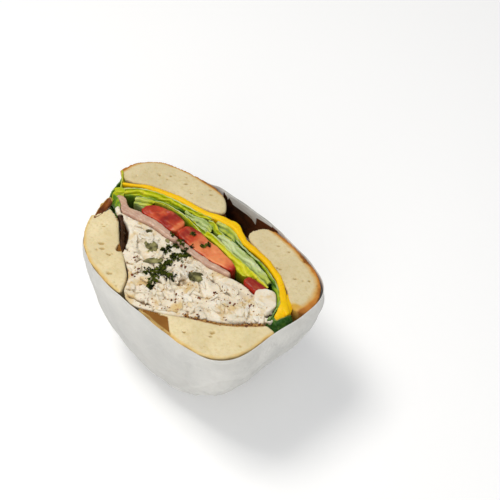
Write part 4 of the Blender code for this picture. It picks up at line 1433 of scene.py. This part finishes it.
def make_specks(tree, sizes, rng):
    """Spice specks: strewn ones mostly to the right, dark groups, and a line of them along the sauce."""
    dark, rusty = [], []
    while len(dark) + len(rusty) < sizes.speck_count:
        x, y = salad_spot(rng, 1.0)
        keep = 0.25 + 0.75 * smooth_step(-10, 14, x)
        found = drop_on(tree, x, y)
        if found and rng.random() < keep:
            size = MM * rng.uniform(0.16, 0.42)
            spot = (found, random_turn(rng, 1.0), (size * rng.uniform(1, 2.2), size, size * 0.6))
            (dark if rng.random() < 0.3 else rusty).append(spot)
    for x, y in SPICE_SPOTS:
        for _ in range(SPECKS_AT_SPOT):
            found = drop_on(tree, x + rng.gauss(0, 0.7), y + rng.gauss(0, 0.5))
            if found:
                size = MM * rng.uniform(0.35, 0.6)
                dark.append((found, random_turn(rng, 0.6), (size * 1.4, size, size * 0.6)))
    for number in range(SAUCE_SPECKS):
        x, y, _ = flat_path(SAUCE_LINE, rng.random())
        found = drop_on(tree, x + rng.gauss(0, 0.4), y + rng.gauss(0, 0.3))
        if found:
            size = MM * rng.uniform(0.25, 0.6)
            spot = (found, random_turn(rng, 0.4), (size * 1.6, size, size * 0.5))
            (dark if number % 3 == 0 else rusty).append(spot)
    for name, spots, low, high in (("spice_dark", dark, (0.07, 0.02, 0.006), (0.26, 0.07, 0.018)),
                                   ("spice_rusty", rusty, (0.32, 0.14, 0.03), (0.52, 0.30, 0.09))):
        deselect_all()
        bpy.ops.mesh.primitive_ico_sphere_add(subdivisions=1, radius=1)
        speck = name_piece(bpy.context.object, f"{name}_speck")
        piece = scatter([speck], spots, name)
        finish_piece(piece, speck_material(name, low, high, 0.5, 500))


def make_pickles(tree, rng):
    """Olive-green capers and pickle bits set in the salad."""
    spots = []
    for x, y, long, wide, turn in PICKLE_SPOTS:
        found = drop_on(tree, x, y)
        if not found:
            raise RuntimeError("a pickle lies off the cut face")
        spots.append((found + Vector((0, 0, 0.1 * wide * MM)), Matrix.Rotation(turn, 3, "Z"),
                      (long * MM, wide * MM, wide * 0.62 * MM)))
    piece = scatter(make_lump_shapes(3, rng, 1.0, "pickle", 0.8), spots, "pickle_bits")
    material = speck_material("pickle", (0.045, 0.040, 0.009), (0.34, 0.31, 0.12), 0.3, 300)
    finish_piece(piece, material)


def make_salad(sizes, colours):
    rng = random.Random(sizes.seed)
    heap = make_salad_heap(chicken_material("chicken", colours, 0.8), sizes)
    bits = chicken_material("chicken_bits", colours, 0.4)
    ground = [heap, make_chunks(bits, sizes, rng), make_shreds(bits, sizes, rng)]
    for name in ("onion_slice_1_cut", "onion_slice_2_cut", "tomato_slice_1_cut", "tomato_slice_2_cut",
                 "bottom_bread_baked"):
        ground.append(bpy.data.objects[name])
    tree = surface_tree(ground)
    make_pickles(tree, rng)
    make_herbs(tree, herb_material(colours), rng)
    make_specks(tree, sizes, rng)


# Paper

PAPER_CUTS = 72
PAPER_BULGE = 0.75  # how far the crumpled paper stands off the outline at most, in mm
PAPER_AT_HOLE = 0.35  # how far it stands off behind the bagel's hole
FLAP_INSET = 0.42  # how far inside the outline the flap hangs
FLAP_TOP = -0.6  # depth of the flap's upper edge
# Straight folds of the paper: start and end as (x, depth), side (-1 front, 1 back), width and height
FOLDS = (
    ((14, 52), (50, 12), -1, 2.2, 0.9),
    ((24, 54), (55, 26), -1, 1.8, 0.7),
    ((-8, 54), (-44, 20), -1, 2.4, 0.6),
    ((-20, 48), (-52, 30), 1, 2.2, 0.8),
    ((18, 50), (48, 24), 1, 2.2, 0.8),
    ((2, 30), (34, 46), -1, 2.6, 0.5),
    ((41, 7), (31, 46), -1, 1.8, 0.75),
    ((50, 10), (42, 36), -1, 1.5, 0.7),
    ((-30, 6), (-14, 44), -1, 2.0, 0.6),
)


def rim_drop(x, y):
    """How far the paper's edge lies below the cut: flush along the breads, lower round the ends."""
    ends = 9.0 * smooth_step(34, 52, -x)
    side = smooth_step(22, 8, y) if y > 0 else 1.0
    front, back = smooth_step(-10, -32, y), smooth_step(16, 26, y)
    back *= smooth_step(-36, -16, x) - 2.4 * smooth_step(-20, -40, x)
    return 0.1 + ends * side * (1 - 0.35 * front) + 0.7 * front - 0.75 * back + 0.2 * math.sin(x * 0.45)


def crumple(x, y, d):
    """Relief of the paper: broad facets with creases between them, and the straight folds."""
    near, far, chance = cell_at(x, y * 0.8, d, 15.0)
    facet = 0.5 * (smooth_step(0.0, 0.35, far - near) - 0.7) + 0.2 * chance
    corner = 0.5 + smooth_step(10, 55, x) * smooth_step(10, -25, y)
    fold = 0.0
    for start, end, side, width, height in FOLDS:
        if side * y > 12:
            away = distance_to_line((start, end), x, d)
            fold = max(fold, height * smooth_step(width, 0.0, away))
    return corner * facet + fold + 0.45 * noise_at(x, y, d, 11.0)


def make_paper(sizes, colours):
    """The sheet that wraps the half from below, drawn over the solids' outline and crumpled."""
    material = paper_material(colours)
    deselect_all()
    bpy.ops.mesh.primitive_cube_add(size=2)
    piece = name_piece(bpy.context.object, "paper_sheet")
    bpy.ops.object.mode_set(mode="EDIT")
    bpy.ops.mesh.subdivide(number_cuts=PAPER_CUTS)
    bpy.ops.mesh.select_all(action="DESELECT")
    bpy.ops.object.mode_set(mode="OBJECT")
    for face in piece.data.polygons:
        face.select = face.normal.z > 0.5
    bpy.ops.object.mode_set(mode="EDIT")
    bpy.ops.mesh.delete(type="FACE")
    bpy.ops.object.mode_set(mode="OBJECT")
    for vert in piece.data.vertices:
        u, v, w = vert.co.x, vert.co.y, (1 - vert.co.z) / 2
        across, down, rho = half_disc(u, w)
        turn = math.atan2(down, across)
        n = squareness(v, turn)
        corner = (rho**n + abs(v) ** n) ** (-1 / n)
        s = v * corner
        r = rho * corner * wrap_radius(s, turn)
        y = STACK_CENTRE + HALF_THICKNESS * s * dome(s, r, turn)
        x, d = r * math.cos(turn), r * math.sin(turn)
        d += rim_drop(x, y) * max(1 - d / 30, 0.0)
        outward = Vector((x / 60, 1.6 * (y / 38) ** 3, -d / 60 * smooth_step(58, 40, d)))
        outward.normalize()
        hug = -0.35 * smooth_step(8, 0, d)
        push = (0.25 + crumple(x, y, d)) * smooth_step(0.5, 7, d) * smooth_step(57.8, 50, d)
        push = min(push, PAPER_BULGE) * smooth_step(57.8, 50, d) + hug
        hole = smooth_step(24, 19, abs(x)) * smooth_step(24, 30, y) * smooth_step(26, 21, d)
        push += (PAPER_AT_HOLE - push) * hole
        x, y, d = x + outward.x * push, y + outward.y * push, d - outward.z * push
        vert.co = to_frame(x, y, min(d, PAPER_FLOOR))
    piece.data.update()
    recalculate_normals(piece)
    apply_modifier(piece, "SOLIDIFY", thickness=sizes.paper_thickness, offset=-1.0)
    shade_smooth(piece, PAPER_ANGLE)
    finish_piece(piece, material, ("paper_wrap",))
    make_flap(material, sizes)


def make_flap(material, sizes):
    """The torn strip of paper that hangs from the rim into the bagel's hole."""
    piece = make_grid("paper_flap", 240, 14)
    left, right = FLAP_EDGE[0][0], FLAP_EDGE[-1][0]
    for vert, t, w in sheet_places(piece):
        x = left + (right - left) * t
        i = max(k for k, p in enumerate(FLAP_EDGE[:-1]) if p[0] <= x)
        a, b = FLAP_EDGE[i], FLAP_EDGE[i + 1]
        low = a[1] + (b[1] - a[1]) * (x - a[0]) / (b[0] - a[0])
        d = FLAP_TOP + (low - FLAP_TOP) * w
        y = outline_height(abs(x), 0.0 if x > 0 else math.pi) - FLAP_INSET - 0.01 * d
        vert.co = to_frame(x, y, d)
    thicken(piece, sizes.paper_thickness, PAPER_ANGLE)
    finish_piece(piece, material)


# Stage

LIGHT_TARGET = Vector((0, 0, 0.04))
CAMERA_BACK = Vector((0.47771, -0.47771, 0.73728))  # from the subject to the camera
CAMERA_AT = Vector((0.2452, -0.2076, 0.4082))


def make_stage():
    """The floor, the pale sky, two soft lights and the camera."""
    deselect_all()
    bpy.ops.mesh.primitive_plane_add(size=6)
    floor = name_piece(bpy.context.object, "floor")
    s = Shader("floor", 0.9)
    s.surface.inputs["Base Color"].default_value = (0.97, 0.97, 0.97, 1)
    s.surface.inputs["Emission Color"].default_value = (1, 1, 1, 1)
    s.surface.inputs["Emission Strength"].default_value = 0.10
    floor.data.materials.append(s.material)
    world = bpy.context.scene.world or bpy.data.worlds.new("studio")
    bpy.context.scene.world = world
    world.use_nodes = True
    sky = world.node_tree.nodes["Background"]
    sky.inputs["Color"].default_value = (0.95, 0.97, 1.0, 1)
    sky.inputs["Strength"].default_value = 0.40
    add_light("key", (-0.36, -0.10, 0.92), 0.36, 4.8, (1.0, 0.97, 0.92))
    add_light("fill", (0.50, -0.62, 0.50), 0.7, 3.0, (1.0, 0.99, 0.97))
    add_camera()
    bpy.context.scene.view_settings.view_transform = "Standard"
    bpy.context.scene.view_settings.look = "None"


def add_light(name, where, size, power, colour):
    deselect_all()
    bpy.ops.object.light_add(type="AREA", location=where)
    light = bpy.context.object
    light.name = name
    light.data.size = size
    light.data.energy = power
    light.data.color = colour
    aim = LIGHT_TARGET - Vector(where)
    light.rotation_euler = aim.to_track_quat("-Z", "Y").to_euler()


def add_camera():
    deselect_all()
    bpy.ops.object.camera_add(location=CAMERA_AT)
    camera = bpy.context.object
    camera.rotation_euler = (-CAMERA_BACK).to_track_quat("-Z", "Y").to_euler()
    camera.data.lens = 80
    camera.data.sensor_width = 36
    camera.data.clip_start = 0.01
    bpy.context.scene.camera = camera


def settings(context):
    return context.scene.sandwich_sizes, context.scene.sandwich_colours


class SANDWICH_OT_breads(bpy.types.Operator):
    """Bake the two halves of bread, with pores in the cut and crust outside"""

    bl_idname = "sandwich.breads"
    bl_label = "Breads"

    def execute(self, context):
        make_breads(*settings(context))
        make_hole_crust()
        make_browned_end()
        return {"FINISHED"}


class SANDWICH_OT_cheese(bpy.types.Operator):
    """Lay the cheese slice under the top bread, with its drooping end"""

    bl_idname = "sandwich.cheese"
    bl_label = "Cheese"

    def execute(self, context):
        make_cheese(*settings(context))
        return {"FINISHED"}


class SANDWICH_OT_lettuce(bpy.types.Operator):
    """Lay the crumpled lettuce leaves, their rib and the dark leaf ends"""

    bl_idname = "sandwich.lettuce"
    bl_label = "Lettuce"

    def execute(self, context):
        _, colours = settings(context)
        material = leaf_material("lettuce", colours)
        for row in BANDS:
            make_band(row, material)
        for row in END_LEAVES:
            make_end_leaf(row, material)
        return {"FINISHED"}


class SANDWICH_OT_slices(bpy.types.Operator):
    """Lay the tomato and onion slices"""

    bl_idname = "sandwich.slices"
    bl_label = "Tomato and Onion"

    def execute(self, context):
        make_slices(*settings(context))
        return {"FINISHED"}


class SANDWICH_OT_salad(bpy.types.Operator):
    """Fill in the chicken salad with its chunks, shreds, herbs, pickles and spice"""

    bl_idname = "sandwich.salad"
    bl_label = "Chicken Salad"

    def execute(self, context):
        make_salad(*settings(context))
        return {"FINISHED"}


class SANDWICH_OT_paper(bpy.types.Operator):
    """Wrap the half in its paper"""

    bl_idname = "sandwich.paper"
    bl_label = "Paper Wrap"

    def execute(self, context):
        make_paper(*settings(context))
        return {"FINISHED"}


class SANDWICH_OT_stage(bpy.types.Operator):
    """Add the pale floor, the soft lights and the camera"""

    bl_idname = "sandwich.stage"
    bl_label = "Stage"

    def execute(self, context):
        make_stage()
        return {"FINISHED"}


class SANDWICH_PT_panel(bpy.types.Panel):
    """Lists the sandwich's sizes, colours and building steps"""

    bl_idname = "SANDWICH_PT_panel"
    bl_label = "Bagel Sandwich Half"
    bl_space_type = "VIEW_3D"
    bl_region_type = "UI"
    bl_category = "Sandwich"

    def draw(self, context):
        for group in settings(context):
            box = self.layout.box()
            for key in group.__annotations__:
                box.prop(group, key)
        for step in STEPS:
            self.layout.operator(step.bl_idname)


STEPS = (SANDWICH_OT_breads, SANDWICH_OT_cheese, SANDWICH_OT_lettuce, SANDWICH_OT_slices, SANDWICH_OT_salad,
         SANDWICH_OT_paper, SANDWICH_OT_stage)
CLASSES = (SandwichSizes, SandwichColours, *STEPS, SANDWICH_PT_panel)


def register():
    for cls in CLASSES:
        bpy.utils.register_class(cls)
    bpy.types.Scene.sandwich_sizes = PointerProperty(type=SandwichSizes)
    bpy.types.Scene.sandwich_colours = PointerProperty(type=SandwichColours)


def unregister():
    del bpy.types.Scene.sandwich_colours
    del bpy.types.Scene.sandwich_sizes
    for cls in reversed(CLASSES):
        bpy.utils.unregister_class(cls)


def main():
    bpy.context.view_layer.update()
    register()
    bpy.ops.sandwich.breads()
    bpy.ops.sandwich.cheese()
    bpy.ops.sandwich.lettuce()
    bpy.ops.sandwich.slices()
    bpy.ops.sandwich.salad()
    bpy.ops.sandwich.paper()
    bpy.ops.sandwich.stage()


if __name__ == "__main__":
    main()
